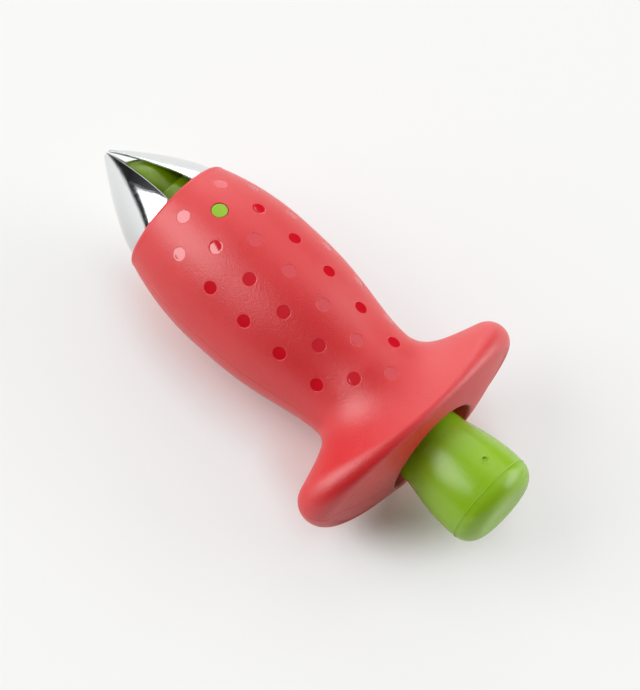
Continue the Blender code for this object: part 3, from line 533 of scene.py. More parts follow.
def outside_radius(h, station, turn):
    """Radius of the handle's outside ahead of the flange's edge: the body's, then the flare's."""
    flare = flare_curve(h, flare_part(h, station, turn), turn)[1]
    return np.where(station <= h.neck_station, body_radius(h, station), flare)


def seed_stations(h):
    """Stations of the seed marks in a row that starts near the mouth and in one that starts at the pin."""
    steps = np.arange(6) * h.seed_pitch
    return h.seed_first + steps, h.pin_station + steps


def column_lines():
    """Shares round half of the handle where the grid has its columns.

    Whole numbers from -2 to 2 are the rows of seeds, and each has a block of even cells round it. Beyond
    them come the blocks of the side pins and the rest of the way to the seam at -4 and 4.
    """
    block = np.linspace(-BLOCK_HALF, BLOCK_HALF, BLOCK_CELLS + 1)
    blocks = [row + block for row in range(-2, 3)]
    gaps = [row + np.linspace(BLOCK_HALF, 1 - BLOCK_HALF, 4) for row in range(-2, 2)]
    side = np.linspace(OUTER_BLOCK_EDGE, PIN_BLOCK_END, BLOCK_CELLS + 1)
    rest = np.linspace(PIN_BLOCK_END, SHELL_COLUMNS_END, 17)
    lines = np.concatenate([*blocks, *gaps, side, rest, -side, -rest])
    return np.unique(lines.round(6))


def row_angle(h, station):
    """Angle between two rows of seeds: it grows evenly from the mouth to the neck."""
    return lerp(h.mouth_fan, h.neck_fan, station / h.neck_station)


def fan(h, columns, station, end):
    """Angle of each column at a station.

    Up to the outer seeds' blocks it is the column's share times the angle between rows. From there it grows
    evenly to the end angle at the seam.
    """
    inner = np.clip(columns, -OUTER_BLOCK_EDGE, OUTER_BLOCK_EDGE) * row_angle(h, station)
    beyond = np.clip(np.abs(columns) - OUTER_BLOCK_EDGE, 0, None) / (SHELL_COLUMNS_END - OUTER_BLOCK_EDGE)
    return inner + np.sign(columns) * beyond * (end - OUTER_BLOCK_EDGE * row_angle(h, station))


def shell_grid(h):
    """Stations, radii and angles of one shell's whole skin, as rows of a closed outline by columns round it.

    The outline runs over the lip, the barrel, the flare, the rounded edge and the rear face to the hole, and
    back inside through the cylinder, the bulkhead and the front chamber to the mouth. Lead, gap and approach
    are the rows of cells ahead of the first block, between two blocks, and from the bulkhead to the pins.
    """
    columns = column_lines()[None]
    near, far = seed_stations(h)
    marks = np.sort(np.concatenate([near, far]))
    lead, gap, approach = 4, 2, 14
    edges = np.concatenate([[h.lip_length], np.stack([marks - BLOCK_REACH, marks + BLOCK_REACH], 1).ravel()])
    cells = [lead] + [BLOCK_CELLS if k % 2 == 0 else gap for k in range(2 * len(marks) - 1)]
    stations = [np.linspace(a, b, n, endpoint=False) for a, b, n in zip(edges, edges[1:], cells)]
    stations = np.concatenate([*stations, edges[-1:]])[:, None]
    last = float(edges[-1])
    seed_limit = (1 + BLOCK_HALF) * row_angle(h, last)

    def lip(turn, _):
        lip_start = h.bore_radius + h.pin_gap
        lip_end = body_radius(h, np.array(h.lip_length))
        return h.lip_length * (1 - np.cos(turn)), lerp(lip_start, lip_end, np.sin(turn))

    def body(station, turn):
        within = np.clip(turn, -seed_limit, seed_limit)
        flare = flare_curve(h, flare_part(h, station, within), turn)
        ahead = station <= h.neck_station
        return np.where(ahead, station, flare[0]), np.where(ahead, body_radius(h, station), flare[1])

    def flare_rest(part, turn):
        start = flare_part(h, last, np.clip(turn, -seed_limit, seed_limit))
        return flare_curve(h, lerp(start, 1.0, part), turn)[:2]

    def edge(part, turn):
        station, centre, size, tilt, flare = flange_edge(h, turn)
        lean = lerp(math.pi / 2 + flare, tilt, part)
        return station + size * np.cos(lean), centre + size * np.sin(lean)

    def rear(part, turn):
        _, centre, size, tilt, _ = flange_edge(h, turn)
        radius = lerp(centre + size * np.sin(tilt), h.hole_radius + h.hole_fillet, part)
        return rear_face(h, radius, turn), radius

    def fillet(lean, turn):
        radius = h.hole_radius + h.hole_fillet
        drop = h.hole_fillet * (1 - np.cos(lean))
        return rear_face(h, radius, turn) - drop, radius - h.hole_fillet * np.sin(lean)

    rear_wall = h.bulkhead_station + h.bulkhead_thickness
    pin_low, pin_high = h.pin_station - BLOCK_REACH, h.pin_station + BLOCK_REACH
    behind = np.linspace(h.neck_station, rear_wall, 13)
    ahead = np.concatenate([
        np.linspace(h.bulkhead_station - 0.001, pin_high, approach, endpoint=False),
        np.linspace(pin_high, pin_low, BLOCK_CELLS, endpoint=False),
        np.linspace(pin_low, h.lip_length, 5),
    ])
    shoulder = [(h.shoulder_station, h.hole_radius), (h.shoulder_station, h.cylinder_radius)]
    bulkhead = [(rear_wall, h.bush_hole), (h.bulkhead_station, h.bush_hole)]
    inside = np.concatenate([
        shoulder,
        np.stack([behind, inner_radius(h, behind)], 1),
        bulkhead,
        np.stack([ahead, inner_radius(h, ahead)], 1),
        [(0.0, h.bore_radius)],
    ])

    def interior(row, turn):
        row = row.astype(int)
        return inside[row, 0] + 0 * turn, inside[row, 1] + 0 * turn

    def steps(end, count):
        return np.linspace(0, end, count + 1)[1:, None]

    quarter = np.linspace(0, math.pi / 2, 7)[:-1, None]
    rows = np.arange(len(inside))[:, None].astype(float)
    zones = [
        (lip, quarter, 0 * quarter),
        (body, stations, stations),
        (flare_rest, steps(1, 14), last),
        (edge, steps(1, 16), last),
        (rear, steps(1, 14), last),
        (fillet, steps(math.pi / 2, 4), last),
        (interior, rows, np.minimum(inside[:, :1], last)),
    ]
    grids = []
    for rule, values, reference in zones:
        wall = rule(values, np.array([[math.pi / 2]]))[1]
        end = np.arccos((h.seam + h.seam_edge) / wall)
        turn = fan(h, columns, reference, end)
        grids.append(np.stack(np.broadcast_arrays(*rule(values, turn), turn)))
    grid = np.concatenate(grids, axis=1)
    starts = np.cumsum([0] + [g.shape[1] for g in grids])
    mark_rows = starts[1] + lead + np.arange(len(marks)) * (BLOCK_CELLS + gap)
    pin_inside = starts[6] + len(shoulder) + len(behind) + len(bulkhead) + approach
    return grid, marks, mark_rows, pin_inside


def block_ring(numbers, row, column):
    """Point numbers round the edge of a block of cells, from its first corner along its first row."""
    block = numbers[row : row + BLOCK_CELLS + 1, column : column + BLOCK_CELLS + 1]
    return np.concatenate([block[0, :-1], block[:-1, -1], block[-1, :0:-1], block[:0:-1, 0]])


def ring_turns():
    """Angle in the surface of each point round a block, from its first corner, where 0 is straight back."""
    return -0.75 * math.pi - 2 * math.pi * np.arange(RING_POINTS) / RING_POINTS


def between(start, end, parts):
    """Places at parts of the way between two, each a station and an angle."""
    return [[lerp(a, b, part) for a, b in zip(start, end)] for part in parts]


def add_rings(shape, first, rings, marks):
    """Joins rings of points to a first ring of point numbers, with a material's number for each."""
    numbers = np.stack([first, *[shape.add_points(ring) for ring in rings]])
    for k, mark in enumerate(marks):
        shape.add_faces(quads(numbers[k : k + 2], around=True), mark)
    return numbers[-1]


def seed_rings(h, station, turn, start):
    """Rings of a seed mark, from a block's edge to the middle of its floor.

    Outside the rim the rings lie on the skin, between the block's edge and the circle. The rim is an eased
    step, and the floor is the skin itself moved in by the mark's depth.
    """
    way = ring_turns()
    middle_radius = float(outside_radius(h, np.array(station), np.array(turn)))
    delta = 0.0002
    ends = outside_radius(h, np.array([station - delta, station + delta]), np.array(turn))
    slope = float(ends[1] - ends[0]) / (2 * delta)
    lean = math.cos(math.atan(slope))

    def circle(radius):
        return station + radius * lean * np.cos(way), turn + radius * np.sin(way) / middle_radius

    def on_skin(place):
        return tool_point(place[0], outside_radius(h, place[0], place[1]), place[1])

    out = unit(np.array([slope, math.sin(turn), math.cos(turn)]))
    rim, radius = h.seed_rim, h.seed_radius
    rings = [on_skin(place) for place in between(start, circle(radius + 1.5 * rim), (1 / 3, 2 / 3, 1.0))]
    for part in np.linspace(0, 1, 6):
        depth = h.seed_depth * float(smoothstep(part))
        rings.append(on_skin(circle(radius + lerp(rim, -0.6 * rim, part))) - depth * out)
    skin_rings = len(rings)
    for part in (0.75, 0.5, 0.25, 0.0):
        rings.append(on_skin(circle((radius - 0.6 * rim) * part)) - h.seed_depth * out)
    return rings, [0] * skin_rings + [1] * (len(rings) - skin_rings)


def pin_rings(h, turn, start, inner_start):
    """Rings of a pin's hole: over the skin, round the rim, down the bore and out over the inner wall."""
    way = ring_turns()
    hole = h.pin_radius + h.pin_gap
    out = np.array([0.0, math.sin(turn), math.cos(turn)])

    def circle(radius, surface):
        station = h.pin_station + radius * np.cos(way)
        return station, turn + np.arcsin(radius * np.sin(way) / surface(h, station))

    def on_wall(place, surface):
        return tool_point(place[0], surface(h, place[0]), place[1])

    outer, inner = (circle(hole + PIN_RIM, surface) for surface in (body_radius, inner_radius))
    rings = [on_wall(place, body_radius) for place in between(start, outer, (1 / 2, 1.0))]
    # The softened rim: how far each ring is outside the hole, and how deep.
    for grow, depth in ((0.00010, 0.0), (0.00005, 0.00002), (0.00001, 0.00006), (0.0, 0.00012)):
        rings.append(on_wall(circle(hole + grow, body_radius), body_radius) - depth * out)
    rings.append(on_wall(circle(hole, inner_radius), inner_radius))
    return rings + [on_wall(place, inner_radius) for place in between(inner, inner_start, (0.0, 1 / 2))]


def make_shell(h, name, side, pins):
    """One shell of the handle: a closed skin with its seed marks, pin holes and softened seam edges.

    The skin is the grid of shell_grid, turned to its side. Blocks of cells round each seed and pin are left
    out and filled with rings. Along the seam each row ends in a quarter circle and the flat parting face.
    """
    middle = 0.0 if side > 0 else math.pi
    grid, marks, mark_rows, pin_inside = shell_grid(h)
    station, radius, turn = grid
    shape = Shape()
    numbers = shape.add_points(tool_point(station, radius, turn + middle))
    columns = column_lines()
    keep = np.ones((station.shape[0] - 1, station.shape[1] - 1), bool)

    def starts(share_start):
        return int(np.argmin(np.abs(columns - share_start)))

    near, _ = seed_stations(h)
    for mark, row in zip(marks, mark_rows):
        starts_near = bool(np.any(np.abs(near - mark) < 1e-6))
        for share_row in (-1, 1) if starts_near else (-2, 0, 2):
            at_pin = share_row == 0 and 0.0 in pins and abs(mark - h.pin_station) < 1e-6
            if at_pin or abs(share_row) == 2 and mark > OUTER_SEEDS_END:
                continue
            column = starts(share_row - BLOCK_HALF)
            keep[row : row + BLOCK_CELLS, column : column + BLOCK_CELLS] = False
            first = block_ring(numbers, row, column)
            start = block_ring(station, row, column), block_ring(turn, row, column) + middle
            seed_turn = float(share_row * row_angle(h, mark)) + middle
            add_rings(shape, first, *seed_rings(h, float(mark), seed_turn, start))

    pin_row = int(mark_rows[np.argmin(np.abs(marks - h.pin_station))])
    backwards = slice(pin_inside + BLOCK_CELLS, pin_inside - 1, -1)
    for pin in pins:
        if pin == 0:
            column = starts(-BLOCK_HALF)
        else:
            column = starts(OUTER_BLOCK_EDGE if pin > 0 else -PIN_BLOCK_END)
        keep[pin_row : pin_row + BLOCK_CELLS, column : column + BLOCK_CELLS] = False
        keep[pin_inside : pin_inside + BLOCK_CELLS, column : column + BLOCK_CELLS] = False
        first = block_ring(numbers, pin_row, column)
        start = block_ring(station, pin_row, column), block_ring(turn, pin_row, column) + middle
        inner = block_ring(station[backwards], 0, column), block_ring(turn[backwards], 0, column) + middle
        rings = pin_rings(h, pin + middle, start, inner)
        end = add_rings(shape, first, rings, [0] * len(rings))
        shape.add_faces(quads(np.stack([end, block_ring(numbers[backwards], 0, column)]), around=True))

    shape.add_faces(quads(numbers)[keep.ravel()])
    shape.add_faces(quads(np.stack([numbers[-1], numbers[0]])))
    add_seam(shape, h, numbers, station, radius, turn + middle, side)
    nodes = ["upper_shell"] if side > 0 else ["lower_shell"]
    return shape.finish(name, "housing", nodes, "red_shell", "red_abs_spark_eroded", "red_abs_polished")


def add_seam(shape, h, numbers, station, radius, turn, side):
    """Adds the rounded edges along the seam and the parting faces.

    At each end column the outline's outward normal is its tangent turned by a right angle. The edge goes
    round a quarter circle from the skin's direction to straight in, and the parting face fills the outline.
    """
    for column in (0, -1):
        ends = tool_point(station[:, column], radius[:, column], turn[:, column])
        outline = np.stack([station[:, column], radius[:, column]], 1)
        tangent = unit(np.roll(outline, -1, axis=0) - np.roll(outline, 1, axis=0))
        across = math.copysign(1.0, math.sin(turn[len(turn) // 4, column]))
        normal = np.stack([tangent[:, 1], across * tangent[:, 0], 0 * tangent[:, 0]], 1)
        lean = np.linspace(0, math.pi / 2, 4)[1:, None, None]
        down = np.array([0.0, 0.0, -side]) * h.seam_edge
        ring = ends + down * np.sin(lean) - normal * h.seam_edge * (1 - np.cos(lean))
        ring[-1, :, 2] = side * h.seam
        rows = np.concatenate([numbers[None, :, column], shape.add_points(ring)])
        shape.add_faces(quads(rows, around=True))
        shape.add_faces(rows[-1:])


# Claws and guide


def claw_radius(c, station):
    """Distance of a claw's outside from the axis.

    Ahead of the mouth it is a pointed arch: one minus the share of the way to the tip raised to the bulge.
    Behind it eases in over the jog, and then runs straight to the hinge.
    """
    arch = 1 - np.clip(-station / c.reach, 0, 1) ** c.bulge
    jog = lerp(c.mouth_radius, c.jog_radius, smoothstep(station / c.jog_length))
    shank = (station - c.jog_length) / (c.hinge_station - c.jog_length)
    straight = lerp(c.jog_radius, c.hinge_radius + c.thickness / 2, np.clip(shank, 0, 1))
    blade = lerp(c.tip_radius, c.mouth_radius, arch)
    return np.where(station <= 0, blade, np.where(station <= c.jog_length, jog, straight))


def claw_half_angle(c, station):
    """Half of the angle that a claw covers: a third of the circle less the gaps, then the shank's width."""
    radius = claw_radius(c, station)
    part = np.clip(1 + station / c.reach, 0, 1)
    blade = math.pi / 3 - np.arcsin(lerp(c.tip_gap, c.mouth_gap, part) / radius)
    along = np.clip((station - c.shank_station) / (c.hinge_station - c.shank_station), 0, 1)
    shank = np.arcsin(lerp(c.shank_half, c.eye_half, along) / np.maximum(radius, c.hinge_radius))
    return lerp(blade, shank, smoothstep(station / c.shank_station))


def claw_points(c, turn):
    """Points of a claw: its closed cross-section at each station.

    The cross-section runs over the outer face, round a cut edge, back over the inner face and round the other
    edge. Each corner is a quarter circle. The steel's depth is its thickness times the slope's stretch. Along
    the blade the stations are six parts even and four parts a half cosine, which brings them closer at its ends.
    """
    cosine = (1 - np.cos(math.pi * np.linspace(0, 1, 41))) / 2
    blade = -c.reach * (1 - lerp(cosine, np.linspace(0, 1, 41), 0.6))
    neck = np.linspace(0, c.shank_station, 17)[1:]
    shank = np.linspace(c.shank_station, c.hinge_station, 9)[1:]
    station = np.concatenate([blade[:1], blade, neck, shank])[:, None]
    station[1:2] += c.cut_edge
    inset = np.zeros_like(station)
    inset[0] = c.cut_edge * 0.7
    step = 0.0001
    outer = claw_radius(c, station)
    slope = (claw_radius(c, station + step) - claw_radius(c, station - step)) / (2 * step)
    depth = c.thickness * np.hypot(1, np.clip(slope, -1, 1))
    half = claw_half_angle(c, station)
    lean = np.linspace(0, math.pi / 2, CORNER_POINTS)
    corner_way = c.cut_edge * (1 - np.sin(lean))
    corner_depth = c.cut_edge * (1 - np.cos(lean))
    flat = np.linspace(-1, 1, 25)
    straight, corner = np.zeros(len(flat) - 1), np.ones(CORNER_POINTS)
    across = np.concatenate([flat[:-1], corner, corner, flat[:0:-1], -corner, -corner])
    short = np.concatenate([straight + c.cut_edge, corner_way, corner_way[::-1]] * 2)
    deep = np.concatenate([straight, corner_depth, corner_depth[::-1]] * 2)
    inner_side = np.concatenate([straight, 0 * corner, corner, straight + 1, corner, 0 * corner])
    sunk = np.where(inner_side > 0, depth - deep - inset, deep + inset)
    return tool_point(station, outer - sunk, turn + across * (half - (short + inset) / outer))


def make_claw(c, name, turn):
    """One claw: the curved blade with rounded cut edges, its shank and the rolled eye round its axle."""
    shape = Shape()
    numbers = shape.add_sheet(claw_points(c, turn))
    half = numbers.shape[1] // 2
    # Each end is closed by quads from the outer face to the inner one, which start at a cut edge's middle.
    for loop in np.roll(numbers[[0, -1]], CORNER_POINTS, axis=1):
        shape.add_faces(quads(np.stack([loop[:half], loop[: half - 1 : -1]])))
    hole = c.axle_radius + CLOSE_FIT
    outline = [(-c.eye_half, hole), (-c.eye_half, c.eye_radius), (c.eye_half, c.eye_radius), (c.eye_half, hole)]
    place = tangent_place(c.hinge_station, c.hinge_radius, turn)
    shape.add_sheet(turned(rounded(outline, 0.00012), 48, place))
    return shape.finish(name + "_steel", name + "_body", [name], "polished_claw_steel", "stainless_mirror_polished")


def lug_points(c, h, turn):
    """Points of a lug with its pin hole, as rings along the pin's axis.

    Each ring is a circle or a rounded square, on which the eighth powers of the coordinates add up to one.
    The rings go up the lug's outside, over its top, and down the hole to a closed floor.
    """
    way = full_turn(64)
    wall_front = float(body_radius(h, np.array(h.pin_station - c.lug_length / 2))) - h.wall
    root, top = c.tail_radius - LUG_STEP, wall_front - LUG_STEP
    square = (np.abs(np.cos(way)) ** 8 + np.abs(np.sin(way)) ** 8) ** (-1 / 8)
    hole = (h.pin_radius + h.pin_gap) * 2 / c.lug_width
    edge = LUG_STEP * 2 / c.lug_width
    sizes = np.array([0.02, 1.0, 1.0, 1 - 0.3 * edge, 1 - edge, hole, hole, 0.0])[:, None]
    heights = np.array([root, root, top - LUG_STEP, top - 0.0001, top, top, LUG_FLOOR, LUG_FLOOR])[:, None]
    is_square = np.array([1, 1, 1, 1, 1, 0, 0, 0])[:, None] > 0
    size = sizes * np.where(is_square, square, 1.0)
    along = size * np.cos(way) * np.where(is_square, c.lug_length, c.lug_width) / 2
    wide = size * np.sin(way) * c.lug_width / 2
    return radial_point(radial_place(h.pin_station, turn), along, wide, heights)


def pin_points(h, turn):
    """Points of a pin: turned about its own axis, with its end trimmed to the skin it lies flush in.

    The first five rings are its foot and its side at fixed heights. The others are its rounded edge and its
    end, at the skin's height less what the edge takes off.
    """
    sink, edge = 0.00012, 0.00012
    radii = h.pin_radius * np.array([0, 0.8, 1, 1, 1, 1, 1, 1, 1, 0.75, 0.5, 0.25, 0])
    radii[6:9] -= edge * np.array([0.1, 0.4, 1.0])
    way = full_turn(64)[None]
    along, wide = radii[:, None] * np.cos(way), radii[:, None] * np.sin(way)
    skin = np.sqrt(body_radius(h, h.pin_station + along) ** 2 - wide**2) - sink
    fixed = PIN_START + np.array([0, 0, 0.0003, 0.002, 0.004])[:, None]
    below = edge * np.array([1.5, 0.5, 0.1, 0, 0, 0, 0, 0])[:, None]
    height = np.concatenate([fixed + 0 * way, skin[5:] - below])
    return radial_point(radial_place(h.pin_station, turn), along, wide, height)


# Button, rod and spring


def button_outline(p, h):
    """The button's outline: its cup, collar, tapered stem, widest ring and rounded end.

    The stem swells by a quarter sine from the rear hole to the widest ring. The rounded end is a quarter
    ellipse. A fine raised ring, the mould's parting line, marks where it starts.
    """
    collar_rear = p.button_front + p.collar_thickness
    socket = p.rod_radius + CLOSE_FIT
    widest = p.end_station - p.rounding - p.land
    shoulder = p.end_station - p.rounding
    cup = rounded(
        [
            (p.cup_station, socket),
            (p.cup_station, p.cup_radius),
            (p.button_front, p.cup_radius),
            (p.button_front, p.collar_radius),
            (collar_rear, p.collar_radius),
            (collar_rear, p.neck_radius),
            (collar_rear + 0.001, lerp(p.neck_radius, p.hole_radius, 0.2)),
        ],
        [0, 0.0003, 0.0003, 0.0003, 0.0003, 0.0005, 0],
    )
    part = np.linspace(0, 1, 25)
    lean = part * math.pi / 2
    stem = [lerp(h.rear_station, widest, part), lerp(p.hole_radius, p.widest_radius, np.sin(lean))]
    land = [np.linspace(widest, shoulder, 9)[1:-1], np.linspace(p.widest_radius, p.shoulder_radius, 9)[1:-1]]
    top = p.shoulder_radius + 0.0001
    ring = [(shoulder - 0.00016, p.shoulder_radius), (shoulder - 0.00006, top), (shoulder + 0.0001, top)]
    lean = np.linspace(0, math.pi / 2, 25)
    end = [lerp(shoulder, p.end_station, np.sin(lean)), lerp(p.face_radius, p.shoulder_radius, np.cos(lean))]
    face = [np.full(9, p.end_station), p.face_radius * np.linspace(1, 0, 10)[1:]]
    hollow = [(p.rod_rear + p.fit, 0.0), (p.rod_rear + p.fit, socket)]
    stem, land, end, face = (np.stack(curve, 1) for curve in (stem, land, end, face))
    return np.concatenate([cup, stem, land, ring, end, face, hollow])


def make_button(p, h):
    """The button: its outline turned, with a small round gate mark sunk into the top of the stem."""
    outline = button_outline(p, h)
    outline = np.concatenate([outline, outline[:1]])
    segments = 128
    shape = Shape()
    gate_turn = math.radians(GATE_TURN)
    turn = gate_turn + full_turn(segments)[None]
    offset = math.pi * (BLOCK_CELLS // 2) * 2 / segments
    grid = tool_point(outline[:, :1], outline[:, 1:], turn - offset)
    numbers = shape.add_points(grid)
    on_stem = np.where(np.abs(np.gradient(outline[:, 0])) > 1e-4)[0]
    row = int(on_stem[np.argmin(np.abs(outline[on_stem, 0] - p.gate_station))]) - BLOCK_CELLS // 2
    keep = np.ones((len(outline) - 1, segments), bool)
    keep[row : row + BLOCK_CELLS, :BLOCK_CELLS] = False
    shape.add_faces(quads(numbers, around=True)[keep.ravel()])

    side = BLOCK_CELLS + 1
    stations, radii = outline[row : row + side].T
    middle = float(stations.mean())
    way = ring_turns()
    block = stations[:, None], turn[0, :side] - offset
    start = [block_ring(np.broadcast_to(values, (side, side)), 0, 0) for values in block]

    def on_stem_at(station, round_way, depth):
        return tool_point(station, np.interp(station, stations, radii) - depth, round_way)

    def circle(radius):
        return middle + radius * np.cos(way), gate_turn + radius * np.sin(way) / float(radii.mean())

    rings = [on_stem_at(*place, 0) for place in between(start, circle(p.gate_radius * 1.9), (1 / 3, 2 / 3, 1))]
    # The gate mark's rings: shares of its radius, and depths below the stem, which it first rises over.
    sizes = (1.5, 1.25, 1.05, 0.95, 0.8, 0.45, 0)
    depths = (-0.00002, -0.00008, -0.00003, 0.00015, 0.0003, 0.00032, 0.00022)
    rings += [on_stem_at(*circle(p.gate_radius * size), depth) for size, depth in zip(sizes, depths)]
    add_rings(shape, block_ring(numbers, row, 0), rings, [0] * len(rings))
    return shape.finish("button", "plunger", ["push_button"], "green_plastic", "green_polypropylene")


def spring_points(p):
    """Points of the spring's wire: a circle carried along a coil.

    The coil's station grows by the end pitch over the first and last turn and evenly between. The circle's
    two axes are the way out from the tool's axis and that way crossed with the coil's direction. At both
    ends the circle shrinks along a quarter circle, so that the wire's end is round.
    """
    front = p.front_washer + p.washer_thickness + p.fit + p.wire_radius
    rear = p.rear_washer - p.fit - p.wire_radius
    turns = np.linspace(0, p.turns, p.turns * 48 + 1)
    first = np.minimum(turns, 1)
    last = np.maximum(turns - (p.turns - 1), 0)
    active = turns - first - last
    rise = (rear - front - 2 * p.end_pitch) / (p.turns - 2)
    station = front + (first + last) * p.end_pitch + active * rise
    path = tool_point(station, p.spring_radius, 2 * math.pi * turns)
    tangent = unit(np.gradient(path, axis=0))
    out = unit(path * np.array([0.0, 1.0, 1.0]))
    other = np.cross(tangent, out)
    cap = 4
    lean = np.linspace(0, math.pi / 2, cap + 1)[:-1]
    size, reach = p.wire_radius * np.sin(lean), (p.wire_radius * np.cos(lean))[:, None]
    front_end = path[:1] - reach * tangent[0] * 0.5
    rear_end = path[-1:] + reach[::-1] * tangent[-1] * 0.5
    wire = np.concatenate([size, np.full(len(path), p.wire_radius), size[::-1]])[:, None, None]
    path = np.concatenate([front_end, path, rear_end])
    out, other = (np.pad(axis, ((cap, cap), (0, 0)), mode="edge")[:, None] for axis in (out, other))
    way = full_turn(16)[None, :, None]
    return path[:, None] + wire * (np.cos(way) * out + np.sin(way) * other)


# Materials


def add_node(tree, kind, sockets, **settings):
    """Adds a node, sets its properties, and gives each socket, by name or number, a value or a link."""
    node = tree.nodes.new(kind)
    for name, value in settings.items():
        setattr(node, name, value)
    for name, value in sockets.items():
        if isinstance(value, bpy.types.NodeSocket):
            tree.links.new(value, node.inputs[name])
        else:
            node.inputs[name].default_value = value
    return node


def new_material(name, base, sockets):
    """Makes a named material. Returns its tree, its shader with its constants set, and the object coordinates."""
    made = bpy.data.materials.new(name)
    made.use_nodes = True
    made.diffuse_color = (*base, 1)
    tree = made.node_tree
    shader = tree.nodes["Principled BSDF"]
    for socket, value in {"Base Color": (*base, 1), **sockets}.items():
        shader.inputs[socket].default_value = value
    return tree, shader, add_node(tree, "ShaderNodeTexCoord", {}).outputs["Object"]


def shade(base, factor):
    """A colour made lighter or darker by a factor, never past white."""
    return tuple(min(channel * factor, 1.0) for channel in base) + (1.0,)


def add_grain(tree, shader, coordinates, size, height, strength):
    """Feeds a bump of fine noise to a shader. The noise's scale is one over the real grain size."""
    sockets = {"Vector": coordinates, "Scale": 1 / size, "Detail": 3.0, "Roughness": 0.6}
    noise = add_node(tree, "ShaderNodeTexNoise", sockets)
    sockets = {"Height": noise.outputs["Fac"], "Distance": height, "Strength": strength}
    bump = add_node(tree, "ShaderNodeBump", sockets)
    tree.links.new(bump.outputs["Normal"], shader.inputs["Normal"])


def moulded(name, base, sockets, grain, tint):
    """A plastic with a grain, by its size, height and strength, and a tint, by its size and spread.

    The tint is a slow, slight change of shade, as moulded plastic has.
    """
    tree, shader, coordinates = new_material(name, base, sockets)
    add_grain(tree, shader, coordinates, *grain)
    size, spread = tint
    noise = add_node(tree, "ShaderNodeTexNoise", {"Vector": coordinates, "Scale": 1 / size, "Detail": 2.0})
    colours = {6: shade(base, 1 - spread), 7: shade(base, 1 + spread)}
    mix = add_node(tree, "ShaderNodeMix", {"Factor": noise.outputs["Fac"], **colours}, data_type="RGBA")
    tree.links.new(mix.outputs[2], shader.inputs["Base Color"])


def red_abs_skin(name, base):
    """Red ABS from a spark-eroded mould: a dull, even skin with a fine grain that breaks up highlights."""
    sockets = {"Roughness": 0.4, "IOR": 1.52, "Specular IOR Level": 0.9, "Sheen Weight": 0.14, "Sheen Roughness": 0.35}
    # Real grain is about 0.1 mm. It is drawn at 0.31 mm, the finest that shows at this size.
    moulded(name, base, sockets, grain=(0.00031, 0.0001, 0.8), tint=(0.012, 0.03))


def red_abs_polished(name, base):
    """The same red ABS where the mould was polished: the seeds' floors mirror the studio, dark or bright."""
    sockets = {"Roughness": 0.07, "IOR": 1.52, "Specular IOR Level": 0.95}
    # The floors are very slightly wavy, over about 1.2 mm.
    moulded(name, base, sockets, grain=(0.0012, 0.00001, 0.2), tint=(0.012, 0.02))


def green_polypropylene(name, base):
    """Green polypropylene, moulded: a satin, slightly waxy skin with soft highlights."""
    sockets = {"Roughness": 0.27, "IOR": 1.49, "Specular IOR Level": 0.55}
    sockets |= {"Subsurface Weight": 0.12, "Subsurface Scale": 0.001}
    # The mould's own marks are about 0.1 mm. They are drawn at 0.4 mm, so that they break up the highlights.
    moulded(name, base, sockets, grain=(0.0004, 0.00006, 0.6), tint=(0.009, 0.03))


def natural_nylon(name, base):
    """Natural nylon, turned: milky, half dull, a little light goes into it."""
    sockets = {"Roughness": 0.45, "IOR": 1.53, "Subsurface Weight": 0.2, "Subsurface Scale": 0.0008}
    # Turning marks are about 0.1 mm. They are drawn at 0.4 mm, so that they show.
    moulded(name, base, sockets, grain=(0.0004, 0.00002, 0.3), tint=(0.004, 0.03))


def polished_steel(name, base):
    """Stainless strip, mirror polished: sharp reflections, with faint pits and polishing haze."""
    tree, shader, coordinates = new_material(name, base, {"Metallic": 1.0, "Roughness": 0.05})
    # Polishing pits are about 0.1 mm. They are drawn at 0.28 mm, so that the dark reflections sparkle.
    add_grain(tree, shader, coordinates, 0.00028, 0.000024, 0.6)
    # The haze changes over about 1.1 mm.
    haze = add_node(tree, "ShaderNodeTexNoise", {"Vector": coordinates, "Scale": 900.0, "Detail": 4.0})
    sockets = {"Value": haze.outputs["Fac"], "From Min": 0.35, "From Max": 0.75, "To Min": 0.04, "To Max": 0.14}
    remap = add_node(tree, "ShaderNodeMapRange", sockets)
    tree.links.new(remap.outputs["Result"], shader.inputs["Roughness"])


def plain_steel(name, base):
    """Drawn and turned bright steel: fine lines along the piece and a soft shine."""
    tree, shader, coordinates = new_material(name, base, {"Metallic": 1.0, "Roughness": 0.28})
    # Drawing lines run along X. They are 0.15 mm apart and 4 mm long.
    mapping = add_node(tree, "ShaderNodeMapping", {"Vector": coordinates, "Scale": (250.0, 6500.0, 6500.0)})
    noise = add_node(tree, "ShaderNodeTexNoise", {"Vector": mapping.outputs["Vector"], "Scale": 1.0, "Detail": 2.0})
    sockets = {"Value": noise.outputs["Fac"], "From Min": 0.3, "From Max": 0.7, "To Min": 0.2, "To Max": 0.38}
    remap = add_node(tree, "ShaderNodeMapRange", sockets)
    tree.links.new(remap.outputs["Result"], shader.inputs["Roughness"])
    bump = add_node(tree, "ShaderNodeBump", {"Height": noise.outputs["Fac"], "Distance": 0.000004, "Strength": 0.3})
    tree.links.new(bump.outputs["Normal"], shader.inputs["Normal"])


